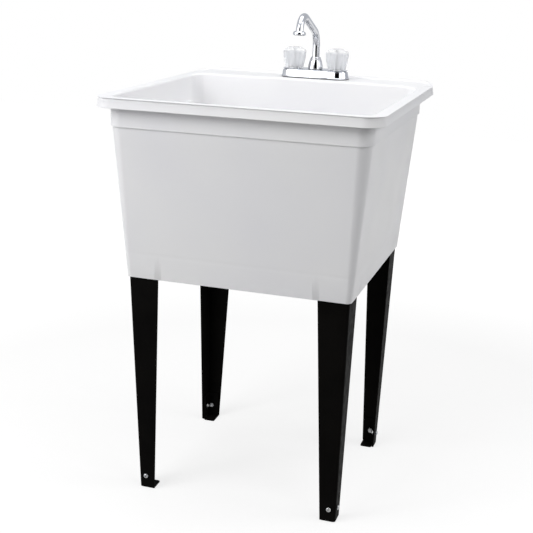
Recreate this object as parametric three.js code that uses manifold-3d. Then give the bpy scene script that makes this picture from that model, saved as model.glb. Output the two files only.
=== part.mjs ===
// Utility laundry sink: a moulded tub on four steel angle legs with levelling feet, a centreset tap and a drain.
// Millimetres, +Z up, front towards -Y. The origin is on the floor, under the middle of the rim.

import * as THREE from 'three';
import { mergeVertices } from 'three/addons/utils/BufferGeometryUtils.js';
import Module from 'manifold-3d';

const wasm = await Module();
wasm.setup();

// ---- Driving dimensions -------------------------------------------------------------------------------------

const SEAT_GAP = 0.3; // left between pieces that rest on each other
const OVERRUN = 1; // how far a cutter runs past the face that it opens

// Rim
const RIM_WIDTH = 581;
const RIM_DEPTH = 600;
const RIM_HEIGHT = 870;
const RIM_CORNER = 40;
const RIM_EDGE = 3;
const LIP_DROP = 20;
const LIP_WALL = 3;
const SIDE_LEDGE = 23;
const BACK_LEDGE = 46;
const MOUTH_EDGE = 5;
const DECK_DEPTH = 110;
const DECK_RISE = 4;
const BEAD_RISE = 3;
const BEAD_WIDTH = 11;

// Walls
const WALL = 3.5;
const COLLAR_DROP = 60;
const COLLAR_CORNER = 30;
const RIDGE_STEP = 3;
const RIDGE_SLOPE = 1.5;
const SKIRT_WIDTH = 478;
const SKIRT_DEPTH = 476;
const SKIRT_CORNER = 12;
const SKIRT_HEIGHT = 497;

// Basin
const BASIN_DEPTH = 318;
const BACK_WALL_LEAN = 20;
const FLOOR_THICKNESS = 4;
const FLOOR_FALL = 8;
const FLOOR_FILLET = 12;
const LEG_SHELF = 12;

// Opening in the back wall, to reach the tap's nuts
const HATCH_WIDTH = 400;
const HATCH_SILL = 575;
const HATCH_CORNER = 20;

// Legs
const LEG_STEEL = 2;
const LEG_BEND = 5;
const LEG_SIDE_GAP = 0.5;
const LEG_SET_IN = 2.5;
const LEG_SIDE_LEAN = 11.4;
const LEG_FRONT_LEAN = 25;
const LEG_TOP_FLANGE = 65;
const LEG_FOOT_FLANGE = 34;
const LEG_END = 20;
const SOCKET_RIB = 2.5;
const SOCKET_GAP = 0.5;

// Levelling feet
const FOOT_STEEL = 2.5;
const FOOT_FLANGE = 30;
const FOOT_HEIGHT = 62;
const FOOT_TRAVEL = 20;
const PAD_LENGTH = 34;
const PAD_NOTCH = 6;
const SCREW_HEIGHT = 30;
const SCREW_INSET = 15.5;
const SCREW_RADIUS = 2.9;
const SCREW_CLEARANCE = 0.5;
const SCREW_HEAD_RADIUS = 5.5;
const SCREW_HEAD_HEIGHT = 3.4;
const SCREW_END = 2;
const NUT_FLATS = 10;
const NUT_HEIGHT = 4.5;

// Tap
const TAP_X = 16;
const TAP_SETBACK = 60;
const VALVE_SPACING = 101.6;
const COVER_WIDTH = 161;
const COVER_DEPTH = 57;
const COVER_HEIGHT = 20;
const COVER_CORNER = 28;
const COVER_TAPER = 4;
const COVER_WALL = 2.5;
const COVER_EDGE = 3;
const COVER_FLANGE = 1.5;
const COVER_STEP = 1.2;
const GASKET_HEIGHT = 1.5;
const WELL_RADIUS = 13;
const WELL_FLOOR = 2;
const NECK_RADIUS = 11.5;
const NECK_HEIGHT = 23;
const CARTRIDGE_RADIUS = 9.5;
const CARTRIDGE_SET_IN = 1;
const BONNET_FLATS = 24;
const BONNET_HEIGHT = 4;
const CROSS_TUBE_RADIUS = 6;
const SHANK_RADIUS = 10.2;
const SHANK_BORE = 6.5;
const SHANK_LENGTH = 52;
const DECK_HOLE_RADIUS = 13;
const POST_RADIUS = 12.6;
const POST_HEIGHT = 28;
const HUB_RADIUS = 17;
const HUB_TOP_RADIUS = 11.6;
const HUB_HEIGHT = 28;
const MOUNT_NUT_RADIUS = 21;
const MOUNT_NUT_HEIGHT = 12;
const MOUNT_NUT_LUGS = 6;
const MOUNT_NUT_LUG_WIDTH = 3;
const MOUNT_NUT_FLANGE = 2.5;
const MOUNT_NUT_SLEEVE = 4;

// Spout
const SPOUT_RADIUS = 8.25;
const SPOUT_WALL = 1.2;
const SPOUT_COLUMN = 99;
const SPOUT_LOWER_BEND = 20;
const SPOUT_SLOPE = 22.5;
const SPOUT_SLANT_REACH = 99;
const SPOUT_CROOK = 33.5;
const SPOUT_OUTLET_TILT = 8;
const SPOUT_FLANGE_RADIUS = 11;
const SPOUT_FLANGE_HEIGHT = 1.4;
const SPOUT_RUNNING_GAP = 0.35;
const SPOUT_FOOT = 8; // the tube's lower end over the body's underside
const NOZZLE_RADIUS = 14;
const NOZZLE_LENGTH = 8;
const NOZZLE_THROAT = 3.5;
const NOZZLE_WALL = 2;
const NOZZLE_SKIRT = 4;
const NOZZLE_SHOULDER = 3.4;
const O_RING_THICKNESS = 1.5;
const O_RING_DROP = 6;
const FLOW_HOLES = 6;
const FLOW_HOLE_RADIUS = 1.4;
const FLOW_HOLE_CIRCLE = 6.5;
const FLOW_CENTRE_HOLE = 2.2;

// Knobs
const KNOB_RADIUS = 27;
const KNOB_FOOT_RADIUS = 21.5;
const KNOB_HEIGHT = 47;
const KNOB_DOME = 6.5;
const KNOB_LOBES = 12;
const KNOB_LOBE_DEPTH = 1.3;
const KNOB_CLEARANCE = 1.5;
const KNOB_WELL_RADIUS = 15.5;
const KNOB_WEB = 2;
const KNOB_FOOT_BAND = 2;
const KNOB_SHOULDER_BAND = 4;
const KNOB_TAPER_END = 12;
const STEM_RADIUS = 4;
const STEM_IN_KNOB = 32;
const STEM_SCREW_RADIUS = 1.7;
const STEM_SCREW_DEPTH = 9;
const KNOB_SCREW_LENGTH = 7;
const KNOB_SCREW_HEAD = 2;
const CAP_RADIUS = 8;
const CAP_HEIGHT = 2.2;

// Drain
const DRAIN_Y = -38;
const DRAIN_HOLE = 23;
const DRAIN_SEAT = 41;
const DRAIN_RECESS = 3;
const DRAIN_FLANGE = 38;
const DRAIN_FLANGE_HEIGHT = 3;
const DRAIN_THREAD = 22;
const DRAIN_BORE = 19.4;
const DRAIN_BODY_LENGTH = 46;
const DRAIN_FLANGE_EDGE = 1.2;
const DRAIN_GASKET_HEIGHT = 3;
const FRICTION_RING_HEIGHT = 1;
const DRAIN_BARS = 4;
const DRAIN_BAR_WIDTH = 3;
const TAILPIECE_RADIUS = 19;
const TAILPIECE_LENGTH = 66;
const TAILPIECE_WALL = 1.3;
const TAILPIECE_GRIP = 12;
const SLIP_WASHER_HEIGHT = 2.5;
const DRAIN_NUT_FLATS = 62;
const DRAIN_NUT_HEIGHT = 9;
const SLIP_NUT_RADIUS = 27;
const SLIP_NUT_HEIGHT = 15;
const SLIP_NUT_FLOOR = 2.5;
const STOPPER_RADIUS = 17.5;
const STOPPER_HEIGHT = 12;
const STOPPER_RIM = 1;
const STOPPER_GRIP_RADIUS = 5;
const STOPPER_GRIP_HEIGHT = 12.6;

// Rounding
const CORNER_STEPS = 6;
const ROUND_STEPS = 24;
const SMALL_STEPS = 16;

// ---- Heights and places worked out from them ----------------------------------------------------------------

const rimUnderside = RIM_HEIGHT - WALL;
const ridgeHeight = RIM_HEIGHT - COLLAR_DROP;
const basinFloor = RIM_HEIGHT - BASIN_DEPTH;
const floorUnderside = basinFloor - FLOOR_THICKNESS;
const drainSeatHeight = basinFloor - FLOOR_FALL - DRAIN_RECESS;
const drainUnderside = drainSeatHeight - FLOOR_THICKNESS;
const deckTop = RIM_HEIGHT + DECK_RISE;
const deckUnderside = rimUnderside + DECK_RISE;
const bodyCentreY = (SIDE_LEDGE - BACK_LEDGE) / 2;
const legTopHeight = floorUnderside - SEAT_GAP;

// ---- Materials ----------------------------------------------------------------------------------------------

function finish(color, roughness, metalness, opacity = 1) {
  return new THREE.MeshStandardMaterial({ color, roughness, metalness, opacity, transparent: opacity < 1 });
}

const whitePlastic = finish(0xf1f1ef, 0.42, 0);
const blackPaint = finish(0x17171a, 0.5, 0.1);
const zincSteel = finish(0xb9bcc0, 0.35, 0.9);
const chrome = finish(0xdfe2e6, 0.08, 1);
const brass = finish(0xb58a44, 0.35, 0.9);
const clearAcrylic = finish(0xe9ecee, 0.08, 0, 0.4);
const blackRubber = finish(0x1d1d1d, 0.8, 0);
const greyPlastic = finish(0xc9cbcc, 0.5, 0);
const redPlastic = finish(0xb3262b, 0.35, 0);
const bluePlastic = finish(0x2459a8, 0.35, 0);

// ---- Geometry -----------------------------------------------------------------------------------------------

// A closed geometry with only its positions, its shared vertices merged and its collapsed faces dropped.
function weld(geometry) {
  const bare = geometry.index ? geometry.toNonIndexed() : geometry.clone();
  bare.deleteAttribute('normal');
  bare.deleteAttribute('uv');
  const merged = mergeVertices(bare, 1e-4);
  const kept = [];
  const index = merged.index.array;
  for (let i = 0; i < index.length; i += 3) {
    const [a, b, c] = [index[i], index[i + 1], index[i + 2]];
    if (a !== b && b !== c && c !== a) kept.push(a, b, c);
  }
  merged.setIndex(kept);
  return merged;
}

function solid(geometry) {
  const welded = weld(geometry);
  const triVerts = new Uint32Array(welded.index.array);
  const vertProperties = new Float32Array(welded.attributes.position.array);
  return new wasm.Manifold(new wasm.Mesh({ numProp: 3, vertProperties, triVerts }));
}

function fromSolid(manifold) {
  const mesh = manifold.getMesh();
  const geometry = new THREE.BufferGeometry();
  geometry.setAttribute('position', new THREE.BufferAttribute(new Float32Array(mesh.vertProperties), 3));
  geometry.setIndex(Array.from(mesh.triVerts));
  const faceted = geometry.toNonIndexed();
  faceted.computeVertexNormals();
  return faceted;
}

function cut(geometry, tools) {
  let body = solid(geometry);
  for (const tool of tools) body = body.subtract(solid(tool));
  return fromSolid(body);
}

function join(geometries) {
  let body = solid(geometries[0]);
  for (const more of geometries.slice(1)) body = body.add(solid(more));
  return fromSolid(body);
}

// The skin through a row of rings with the same number of points. A closed row comes back to its first ring;
// an open one is capped at both ends. Rings run anticlockwise from above, and an open row runs upwards.
function loft(rings, closed = false) {
  const count = rings[0].length;
  const points = rings.flat();
  const faces = [];
  const spans = closed ? rings.length : rings.length - 1;
  for (let r = 0; r < spans; r += 1) {
    const low = r * count;
    const high = ((r + 1) % rings.length) * count;
    for (let i = 0; i < count; i += 1) {
      const next = (i + 1) % count;
      faces.push(low + i, low + next, high + next, low + i, high + next, high + i);
    }
  }
  if (!closed) {
    const last = (rings.length - 1) * count;
    for (const [a, b, c] of triangles(rings[0])) faces.push(c, b, a);
    for (const [a, b, c] of triangles(rings[rings.length - 1])) faces.push(last + a, last + b, last + c);
  }
  const geometry = new THREE.BufferGeometry().setFromPoints(points);
  geometry.setIndex(faces);
  const faceted = geometry.toNonIndexed();
  faceted.computeVertexNormals();
  return faceted;
}

function triangles(ring) {
  const flat = ring.map((p) => new THREE.Vector2(p.x, p.y));
  return THREE.ShapeUtils.triangulateShape(flat, []);
}

// A rounded rectangle ring, anticlockwise from its right-hand side. Its back corners climb to the height "rise".
function ring({ half, front, back, corner }, z, rise = 0) {
  const radius = Math.min(corner, half, (back - front) / 2);
  const points = [];
  const centres = [
    [half - radius, back - radius],
    [radius - half, back - radius],
    [radius - half, front + radius],
    [half - radius, front + radius],
  ];
  centres.forEach(([x, y], quarter) => {
    for (let i = 0; i <= CORNER_STEPS; i += 1) {
      const share = i / CORNER_STEPS;
      const angle = (quarter + share) * (Math.PI / 2);
      const climb = [share, 1 - share, 0, 0][quarter];
      const height = z + rise * climb * climb * (3 - 2 * climb);
      points.push(new THREE.Vector3(x + radius * Math.cos(angle), y + radius * Math.sin(angle), height));
    }
  });
  return points;
}

function inset(outline, distance) {
  return {
    half: outline.half - distance,
    front: outline.front + distance,
    back: outline.back - distance,
    corner: Math.max(outline.corner - distance, 1),
  };
}

function circle(radius, y = 0) {
  return { half: radius, front: y - radius, back: y + radius, corner: radius };
}

function revolve(profile, steps = ROUND_STEPS) {
  const points = profile.map(([radius, height]) => new THREE.Vector2(radius, height));
  points.push(points[0].clone());
  const lathe = new THREE.LatheGeometry(points, steps);
  return lathe.rotateX(Math.PI / 2);
}

function cylinder(radius, low, high, steps = ROUND_STEPS) {
  const geometry = new THREE.CylinderGeometry(radius, radius, high - low, steps);
  return geometry.rotateX(Math.PI / 2).translate(0, 0, (low + high) / 2);
}

function tube(outer, inner, low, high, steps = ROUND_STEPS) {
  return revolve([[inner, low], [outer, low], [outer, high], [inner, high]], steps);
}

function box(x0, x1, y0, y1, z0, z1) {
  const geometry = new THREE.BoxGeometry(x1 - x0, y1 - y0, z1 - z0);
  return geometry.translate((x0 + x1) / 2, (y0 + y1) / 2, (z0 + z1) / 2);
}

function hexNut(flats, bore, low, high) {
  const shape = new THREE.Shape();
  const reach = flats / 2 / Math.cos(Math.PI / 6);
  for (let i = 0; i < 6; i += 1) {
    const angle = (i * Math.PI) / 3;
    if (i === 0) shape.moveTo(reach, 0);
    else shape.lineTo(reach * Math.cos(angle), reach * Math.sin(angle));
  }
  shape.closePath();
  const sides = bore > CAP_RADIUS ? ROUND_STEPS : ROUND_STEPS / 2;
  const hole = new THREE.Path();
  hole.absarc(0, 0, bore / Math.cos(Math.PI / sides), 0, 2 * Math.PI, true);
  shape.holes.push(hole);
  const settings = { depth: high - low, bevelEnabled: false, curveSegments: sides / 2 };
  const geometry = new THREE.ExtrudeGeometry(shape, settings);
  return geometry.translate(0, 0, low);
}

function piece(name, geometry, material, parent) {
  const mesh = new THREE.Mesh(geometry, material);
  mesh.name = name;
  parent.add(mesh);
  return mesh;
}

// ---- Tub ----------------------------------------------------------------------------------------------------

// Outline of the moulding's outer face at a height: tapered from the ridge down to the skirt's lower edge.
function outerWall(z) {
  const t = (z - SKIRT_HEIGHT) / (ridgeHeight - SKIRT_HEIGHT);
  const top = inset(collar(), RIDGE_STEP);
  const mix = (low, high) => low + (high - low) * Math.min(t, 1);
  return {
    half: mix(SKIRT_WIDTH / 2, top.half),
    front: mix(bodyCentreY - SKIRT_DEPTH / 2, top.front),
    back: mix(bodyCentreY + SKIRT_DEPTH / 2, top.back),
    corner: mix(SKIRT_CORNER, top.corner),
  };
}

function rim() {
  return { half: RIM_WIDTH / 2, front: -RIM_DEPTH / 2, back: RIM_DEPTH / 2, corner: RIM_CORNER };
}

function collar() {
  return {
    half: RIM_WIDTH / 2 - SIDE_LEDGE,
    front: -RIM_DEPTH / 2 + SIDE_LEDGE,
    back: RIM_DEPTH / 2 - BACK_LEDGE,
    corner: COLLAR_CORNER,
  };
}

function basinBack(z) {
  return RIM_DEPTH / 2 - DECK_DEPTH - (BACK_WALL_LEAN * (RIM_HEIGHT - z)) / BASIN_DEPTH;
}

function basinWall(z) {
  const wall = z > ridgeHeight ? collar() : outerWall(z);
  return { ...inset(wall, WALL), back: basinBack(z) };
}

// One closed section, carried round the tub: under the floor, down the skirt, up the outer face, over the rim
// and its lip, down into the basin and across its floor to the drain.
function tubShell() {
  const edgeMid = RIM_EDGE * (1 - Math.SQRT1_2);
  const mouthMid = MOUTH_EDGE * (1 - Math.SQRT1_2);
  const filletMid = FLOOR_FILLET * (1 - Math.SQRT1_2);
  const mouth = basinWall(RIM_HEIGHT);
  const backRise = DECK_RISE + BEAD_RISE;
  const floorWall = basinWall(basinFloor + FLOOR_FILLET);
  return loft([
    ring(circle(DRAIN_HOLE, DRAIN_Y), drainUnderside),
    ring(circle(DRAIN_SEAT, DRAIN_Y), drainUnderside),
    ring(inset(outerWall(floorUnderside), WALL + LEG_SHELF), floorUnderside),
    ring(inset(outerWall(floorUnderside), WALL), floorUnderside),
    ring(inset(outerWall(SKIRT_HEIGHT), WALL), SKIRT_HEIGHT),
    ring(outerWall(SKIRT_HEIGHT), SKIRT_HEIGHT),
    ring(outerWall(ridgeHeight), ridgeHeight),
    ring(collar(), ridgeHeight + RIDGE_SLOPE),
    ring(collar(), rimUnderside, DECK_RISE),
    ring(inset(rim(), LIP_WALL), rimUnderside, DECK_RISE),
    ring(inset(rim(), LIP_WALL), RIM_HEIGHT - LIP_DROP),
    ring(rim(), RIM_HEIGHT - LIP_DROP),
    ring(rim(), RIM_HEIGHT - RIM_EDGE, backRise),
    ring(inset(rim(), edgeMid), RIM_HEIGHT - edgeMid, backRise),
    ring(inset(rim(), RIM_EDGE), RIM_HEIGHT, backRise),
    ring(inset(rim(), BEAD_WIDTH - BEAD_RISE), RIM_HEIGHT, backRise),
    ring(inset(rim(), BEAD_WIDTH), RIM_HEIGHT, DECK_RISE),
    ring(inset(mouth, -MOUTH_EDGE), RIM_HEIGHT, DECK_RISE),
    ring(inset(mouth, -mouthMid), RIM_HEIGHT - mouthMid, DECK_RISE),
    ring(mouth, RIM_HEIGHT - MOUTH_EDGE, DECK_RISE),
    ring(basinWall(ridgeHeight), ridgeHeight),
    ring(floorWall, basinFloor + FLOOR_FILLET),
    ring(inset(floorWall, filletMid), basinFloor + filletMid),
    ring(inset(floorWall, FLOOR_FILLET), basinFloor),
    ring(circle(DRAIN_SEAT, DRAIN_Y), basinFloor - FLOOR_FALL),
    ring(circle(DRAIN_SEAT, DRAIN_Y), drainSeatHeight),
    ring(circle(DRAIN_HOLE, DRAIN_Y), drainSeatHeight),
  ], true);
}

// The space behind the basin's back wall, which the tap's shanks come down into. It opens below between the
// sockets of the back legs, and over each socket the floor runs back to the outer wall.
function backHollow(low, high, half) {
  const at = (z) => {
    const wall = z > ridgeHeight ? collar() : outerWall(z);
    const space = { ...inset(wall, WALL), front: basinBack(z) + WALL };
    return ring({ ...space, half: Math.min(space.half, half) }, z);
  };
  const between = [ridgeHeight, ridgeHeight + RIDGE_SLOPE].filter((z) => z > low && z < high);
  return loft([low, ...between, high].map((z) => at(z)));
}

function hatch() {
  const half = HATCH_WIDTH / 2;
  const shape = new THREE.Shape();
  shape.moveTo(-half, deckUnderside);
  shape.lineTo(-half, HATCH_SILL + HATCH_CORNER);
  shape.absarc(HATCH_CORNER - half, HATCH_SILL + HATCH_CORNER, HATCH_CORNER, Math.PI, 1.5 * Math.PI);
  shape.absarc(half - HATCH_CORNER, HATCH_SILL + HATCH_CORNER, HATCH_CORNER, 1.5 * Math.PI, 2 * Math.PI);
  shape.lineTo(half, deckUnderside);
  shape.closePath();
  const near = basinBack(RIM_HEIGHT) + WALL + SOCKET_RIB;
  const far = RIM_DEPTH / 2 - LIP_WALL * 2;
  const geometry = new THREE.ExtrudeGeometry(shape, { depth: far - near, bevelEnabled: false, curveSegments: 2 });
  return geometry.rotateX(Math.PI / 2).translate(0, far, 0);
}

// Leg corner in one quarter of the tub, seen from the middle of the skirt: x and y grow towards the corner.
const legTop = { x: SKIRT_WIDTH / 2 - WALL - LEG_SIDE_GAP, y: SKIRT_DEPTH / 2 - WALL - LEG_SET_IN };
const legFoot = { x: legTop.x - LEG_SIDE_LEAN, y: legTop.y - LEG_FRONT_LEAN };
const lean = { x: LEG_SIDE_LEAN / SKIRT_HEIGHT, y: LEG_FRONT_LEAN / SKIRT_HEIGHT };

function legFlange(z) {
  return LEG_FOOT_FLANGE + ((LEG_TOP_FLANGE - LEG_FOOT_FLANGE) * z) / SKIRT_HEIGHT;
}

// A channel of ribs round the leg's two flanges, closed by the skirt's own wall on the outside.
function socketRing(z) {
  const wallX = outerWall(z).half - WALL / 2;
  const wallY = outerWall(z).back - bodyCentreY - WALL / 2;
  const corner = { x: legFoot.x + lean.x * z, y: legFoot.y + lean.y * z };
  const inner = LEG_STEEL + SOCKET_GAP;
  const outer = inner + SOCKET_RIB;
  const end = legFlange(z) + SOCKET_GAP;
  const cap = end + SOCKET_RIB;
  const chamfer = LEG_BEND - LEG_STEEL;
  const outline = [
    [corner.x - cap, wallY],
    [corner.x - cap, corner.y - outer],
    [corner.x - outer - chamfer, corner.y - outer],
    [corner.x - outer, corner.y - outer - chamfer],
    [corner.x - outer, corner.y - cap],
    [wallX, corner.y - cap],
    [wallX, corner.y - end],
    [corner.x - inner, corner.y - end],
    [corner.x - inner, corner.y - inner - chamfer],
    [corner.x - inner - chamfer, corner.y - inner],
    [corner.x - end, corner.y - inner],
    [corner.x - end, wallY],
  ];
  return outline.map(([x, y]) => new THREE.Vector3(x, y, z));
}

// Ring points mirrored into another quarter, kept anticlockwise.
function mirrored(points, sideX, sideY) {
  const turned = points.map((p) => new THREE.Vector3(p.x * sideX, p.y * sideY + bodyCentreY, p.z));
  return sideX * sideY > 0 ? turned : turned.reverse();
}

const quarters = [
  { name: 'front_left', sideX: -1, sideY: -1 },
  { name: 'front_right', sideX: 1, sideY: -1 },
  { name: 'back_left', sideX: -1, sideY: 1 },
  { name: 'back_right', sideX: 1, sideY: 1 },
];

function tub() {
  let body = solid(tubShell());
  body = body.subtract(solid(backHollow(basinFloor, deckUnderside, RIM_WIDTH)));
  const betweenLegs = legTop.x - LEG_TOP_FLANGE - LEG_SHELF;
  body = body.subtract(solid(backHollow(drainUnderside, basinFloor + OVERRUN, betweenLegs)));
  body = body.subtract(solid(hatch()));
  for (const { sideX, sideY } of quarters) {
    const heights = [SKIRT_HEIGHT + OVERRUN, floorUnderside + OVERRUN];
    const rings = heights.map((z) => mirrored(socketRing(z), sideX, sideY));
    body = body.add(solid(loft(rings)));
  }
  for (const side of [-1, 1]) {
    const hole = cylinder(DECK_HOLE_RADIUS, deckUnderside - OVERRUN, deckTop + OVERRUN);
    hole.translate(TAP_X + (side * VALVE_SPACING) / 2, RIM_DEPTH / 2 - TAP_SETBACK, 0);
    body = body.subtract(solid(hole));
  }
  return fromSolid(body);
}

// ---- Legs and levelling feet --------------------------------------------------------------------------------

// An angle section with its corner at (x, y), flanges running inwards, and a rounded bend.
function angleRing(x, y, flange, steel, bend, z) {
  const points = [];
  const arc = (radius, from, to) => {
    for (let i = 0; i <= 3; i += 1) {
      const angle = from + ((to - from) * i) / 3;
      points.push([x - bend + radius * Math.cos(angle), y - bend + radius * Math.sin(angle)]);
    }
  };
  points.push([x, y - flange]);
  arc(bend, 0, Math.PI / 2);
  points.push([x - flange, y], [x - flange, y - steel]);
  arc(bend - steel, Math.PI / 2, 0);
  points.push([x - steel, y - flange]);
  return points.map(([px, py]) => new THREE.Vector3(px, py, z));
}

// Leans an upright shape, built from the leg's foot, along the leg.
function leaning(geometry) {
  const shear = new THREE.Matrix4().set(1, 0, lean.x, 0, 0, 1, lean.y, 0, 0, 0, 1, 0, 0, 0, 0, 1);
  return geometry.applyMatrix4(shear);
}

const screwSpots = [
  { name: 'face', x: legFoot.x - SCREW_INSET, y: legFoot.y, normal: new THREE.Vector3(0, 1, -lean.y) },
  { name: 'side', x: legFoot.x, y: legFoot.y - SCREW_INSET, normal: new THREE.Vector3(1, 0, -lean.x) },
];

// A hole or slot for one screw, run through both flanges' thickness, before the leg is leant.
function screwSlot(spot, radius, travel) {
  const shape = new THREE.Shape();
  shape.absarc(0, travel, radius, 0, Math.PI);
  shape.absarc(0, 0, radius, Math.PI, 2 * Math.PI);
  const reach = LEG_BEND * 3;
  const slot = new THREE.ExtrudeGeometry(shape, { depth: reach * 2, bevelEnabled: false, curveSegments: 3 });
  slot.translate(0, 0, -reach).rotateX(Math.PI / 2);
  if (spot.name === 'side') slot.rotateZ(Math.PI / 2);
  return slot.translate(spot.x, spot.y, SCREW_HEIGHT);
}

const screwHole = SCREW_RADIUS + SCREW_CLEARANCE;

function leg() {
  const at = (z) => angleRing(legFoot.x, legFoot.y, legFlange(z), LEG_STEEL, LEG_BEND, z);
  const steel = loft([at(LEG_END), at(legTopHeight)]);
  return leaning(cut(steel, screwSpots.map((spot) => screwSlot(spot, screwHole, 0))));
}

const footOffset = LEG_STEEL + SEAT_GAP;

function foot() {
  const x = legFoot.x - footOffset;
  const y = legFoot.y - footOffset;
  const at = (z) => angleRing(x, y, FOOT_FLANGE, FOOT_STEEL, LEG_BEND, z);
  const pad = box(x - FOOT_FLANGE, x - PAD_NOTCH - FOOT_STEEL, y - PAD_LENGTH, y - FOOT_STEEL / 2, 0, FOOT_STEEL);
  const bracket = join([loft([at(0), at(FOOT_HEIGHT)]), pad]);
  return leaning(cut(bracket, screwSpots.map((spot) => screwSlot(spot, screwHole, FOOT_TRAVEL))));
}

const screwGrip = footOffset + FOOT_STEEL + SEAT_GAP;

function footScrew() {
  const length = screwGrip + NUT_HEIGHT + SCREW_END;
  const low = SEAT_GAP;
  return revolve([
    [0, -length],
    [SCREW_RADIUS, -length],
    [SCREW_RADIUS, low],
    [SCREW_HEAD_RADIUS, low],
    [SCREW_HEAD_RADIUS, low + SCREW_HEAD_HEIGHT / 3],
    [SCREW_HEAD_RADIUS * 0.75, low + SCREW_HEAD_HEIGHT * 0.85],
    [0, low + SCREW_HEAD_HEIGHT],
  ], 12);
}

function addLeg({ name, sideX, sideY }, parent) {
  const group = new THREE.Group();
  group.position.y = bodyCentreY;
  group.scale.set(sideX, sideY, 1);
  parent.add(group);
  piece(`leg_${name}`, leg(), blackPaint, group);
  piece(`foot_${name}`, foot(), blackPaint, group);
  for (const spot of screwSpots) {
    const fixing = new THREE.Group();
    fixing.position.set(spot.x + lean.x * SCREW_HEIGHT, spot.y + lean.y * SCREW_HEIGHT, SCREW_HEIGHT);
    fixing.quaternion.setFromUnitVectors(new THREE.Vector3(0, 0, 1), spot.normal.clone().normalize());
    group.add(fixing);
    piece(`foot_screw_${name}_${spot.name}`, footScrew(), zincSteel, fixing);
    const nut = hexNut(NUT_FLATS, SCREW_RADIUS + SEAT_GAP, -screwGrip - NUT_HEIGHT, -screwGrip);
    piece(`foot_nut_${name}_${spot.name}`, nut, zincSteel, fixing);
  }
}

// ---- Tap ----------------------------------------------------------------------------------------------------

const valveOffset = VALVE_SPACING / 2;
const coverBase = SEAT_GAP + GASKET_HEIGHT;

function coverOutline(shrink) {
  return inset({
    half: COVER_WIDTH / 2,
    front: -COVER_DEPTH / 2,
    back: COVER_DEPTH / 2,
    corner: COVER_CORNER,
  }, shrink);
}

function tapHoles(radius, low, high) {
  return [-1, 1].map((side) => cylinder(radius, low, high, SMALL_STEPS).translate(side * valveOffset, 0, 0));
}

function tapCover() {
  const top = COVER_HEIGHT;
  const edgeMid = COVER_EDGE * (1 - Math.SQRT1_2);
  const shell = loft([
    ring(coverOutline(COVER_TAPER + COVER_FLANGE), top - COVER_WALL),
    ring(coverOutline(COVER_WALL), coverBase),
    ring(coverOutline(0), coverBase),
    ring(coverOutline(0), coverBase + COVER_FLANGE),
    ring(coverOutline(COVER_STEP), coverBase + COVER_FLANGE + COVER_STEP / 2),
    ring(coverOutline(COVER_TAPER), top - COVER_EDGE),
    ring(coverOutline(COVER_TAPER + edgeMid), top - edgeMid),
    ring(coverOutline(COVER_TAPER + COVER_EDGE), top),
  ]);
  const necks = tapHoles(NECK_RADIUS + SEAT_GAP, coverBase, top + OVERRUN);
  const post = cylinder(POST_RADIUS + SEAT_GAP, coverBase, top + OVERRUN);
  return cut(shell, [...necks, post]);
}

// Brass waterway: a valve well over each inlet shank, a cross tube, and a post that holds the spout.
function tapBody() {
  const wellTop = COVER_HEIGHT - COVER_WALL - SEAT_GAP;
  const low = coverBase;
  const middle = (low + wellTop) / 2;
  const wellFloor = low + WELL_FLOOR;
  const cross = cylinder(CROSS_TUBE_RADIUS, -valveOffset, valveOffset, 12).rotateY(Math.PI / 2);
  const solids = [
    cross.translate(0, 0, middle),
    ...tapHoles(WELL_RADIUS, low, wellTop),
    ...tapHoles(NECK_RADIUS, low + OVERRUN, NECK_HEIGHT),
    ...tapHoles(SHANK_RADIUS, -SHANK_LENGTH, wellFloor),
    cylinder(POST_RADIUS, low, POST_HEIGHT),
  ];
  const waterway = cylinder(CROSS_TUBE_RADIUS / 2, -valveOffset, valveOffset, 8).rotateY(Math.PI / 2);
  const bores = [
    waterway.translate(0, 0, middle),
    ...tapHoles(CARTRIDGE_RADIUS + SEAT_GAP, wellFloor, NECK_HEIGHT + OVERRUN),
    ...tapHoles(SHANK_BORE, -SHANK_LENGTH - OVERRUN, wellFloor + OVERRUN),
    cylinder(spoutRingBore, wellFloor + OVERRUN, POST_HEIGHT + OVERRUN),
  ];
  return cut(join(solids), bores);
}

function gasket() {
  const low = SEAT_GAP / 2;
  const plate = loft([low, low + GASKET_HEIGHT].map((z) => ring(coverOutline(COVER_FLANGE / 2), z)));
  return cut(plate, tapHoles(SHANK_RADIUS + SEAT_GAP, 0, GASKET_HEIGHT * 2));
}

// Hand-tightened nut under the deck, with lugs for the fingers.
function mountingNut() {
  const top = deckUnderside - deckTop - SEAT_GAP;
  const low = top - MOUNT_NUT_HEIGHT;
  const bore = SHANK_RADIUS + SEAT_GAP;
  const sleeveRadius = SHANK_RADIUS + MOUNT_NUT_SLEEVE;
  const inFlange = top - MOUNT_NUT_FLANGE / 2;
  const flange = tube(MOUNT_NUT_RADIUS, bore, top - MOUNT_NUT_FLANGE, top, SMALL_STEPS);
  const sleeve = tube(sleeveRadius, bore, low, inFlange, SMALL_STEPS);
  const lugs = [];
  const side = MOUNT_NUT_LUG_WIDTH / 2;
  for (let i = 0; i < MOUNT_NUT_LUGS; i += 1) {
    const lug = box(sleeveRadius - side, MOUNT_NUT_RADIUS - side, -side, side, low + side, inFlange);
    lugs.push(lug.rotateZ((i * 2 * Math.PI) / MOUNT_NUT_LUGS));
  }
  return join([flange, sleeve, ...lugs]);
}

const cartridgeLow = coverBase + WELL_FLOOR + SEAT_GAP;

function cartridge() {
  const bore = STEM_RADIUS + SEAT_GAP;
  return tube(CARTRIDGE_RADIUS, bore, cartridgeLow, NECK_HEIGHT - CARTRIDGE_SET_IN, SMALL_STEPS);
}

const bonnetLow = NECK_HEIGHT + SEAT_GAP;
const bonnetTop = bonnetLow + BONNET_HEIGHT;
const knobLow = COVER_HEIGHT + KNOB_CLEARANCE;
const knobTop = knobLow + KNOB_HEIGHT;
const stemTop = knobLow + STEM_IN_KNOB;

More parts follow.
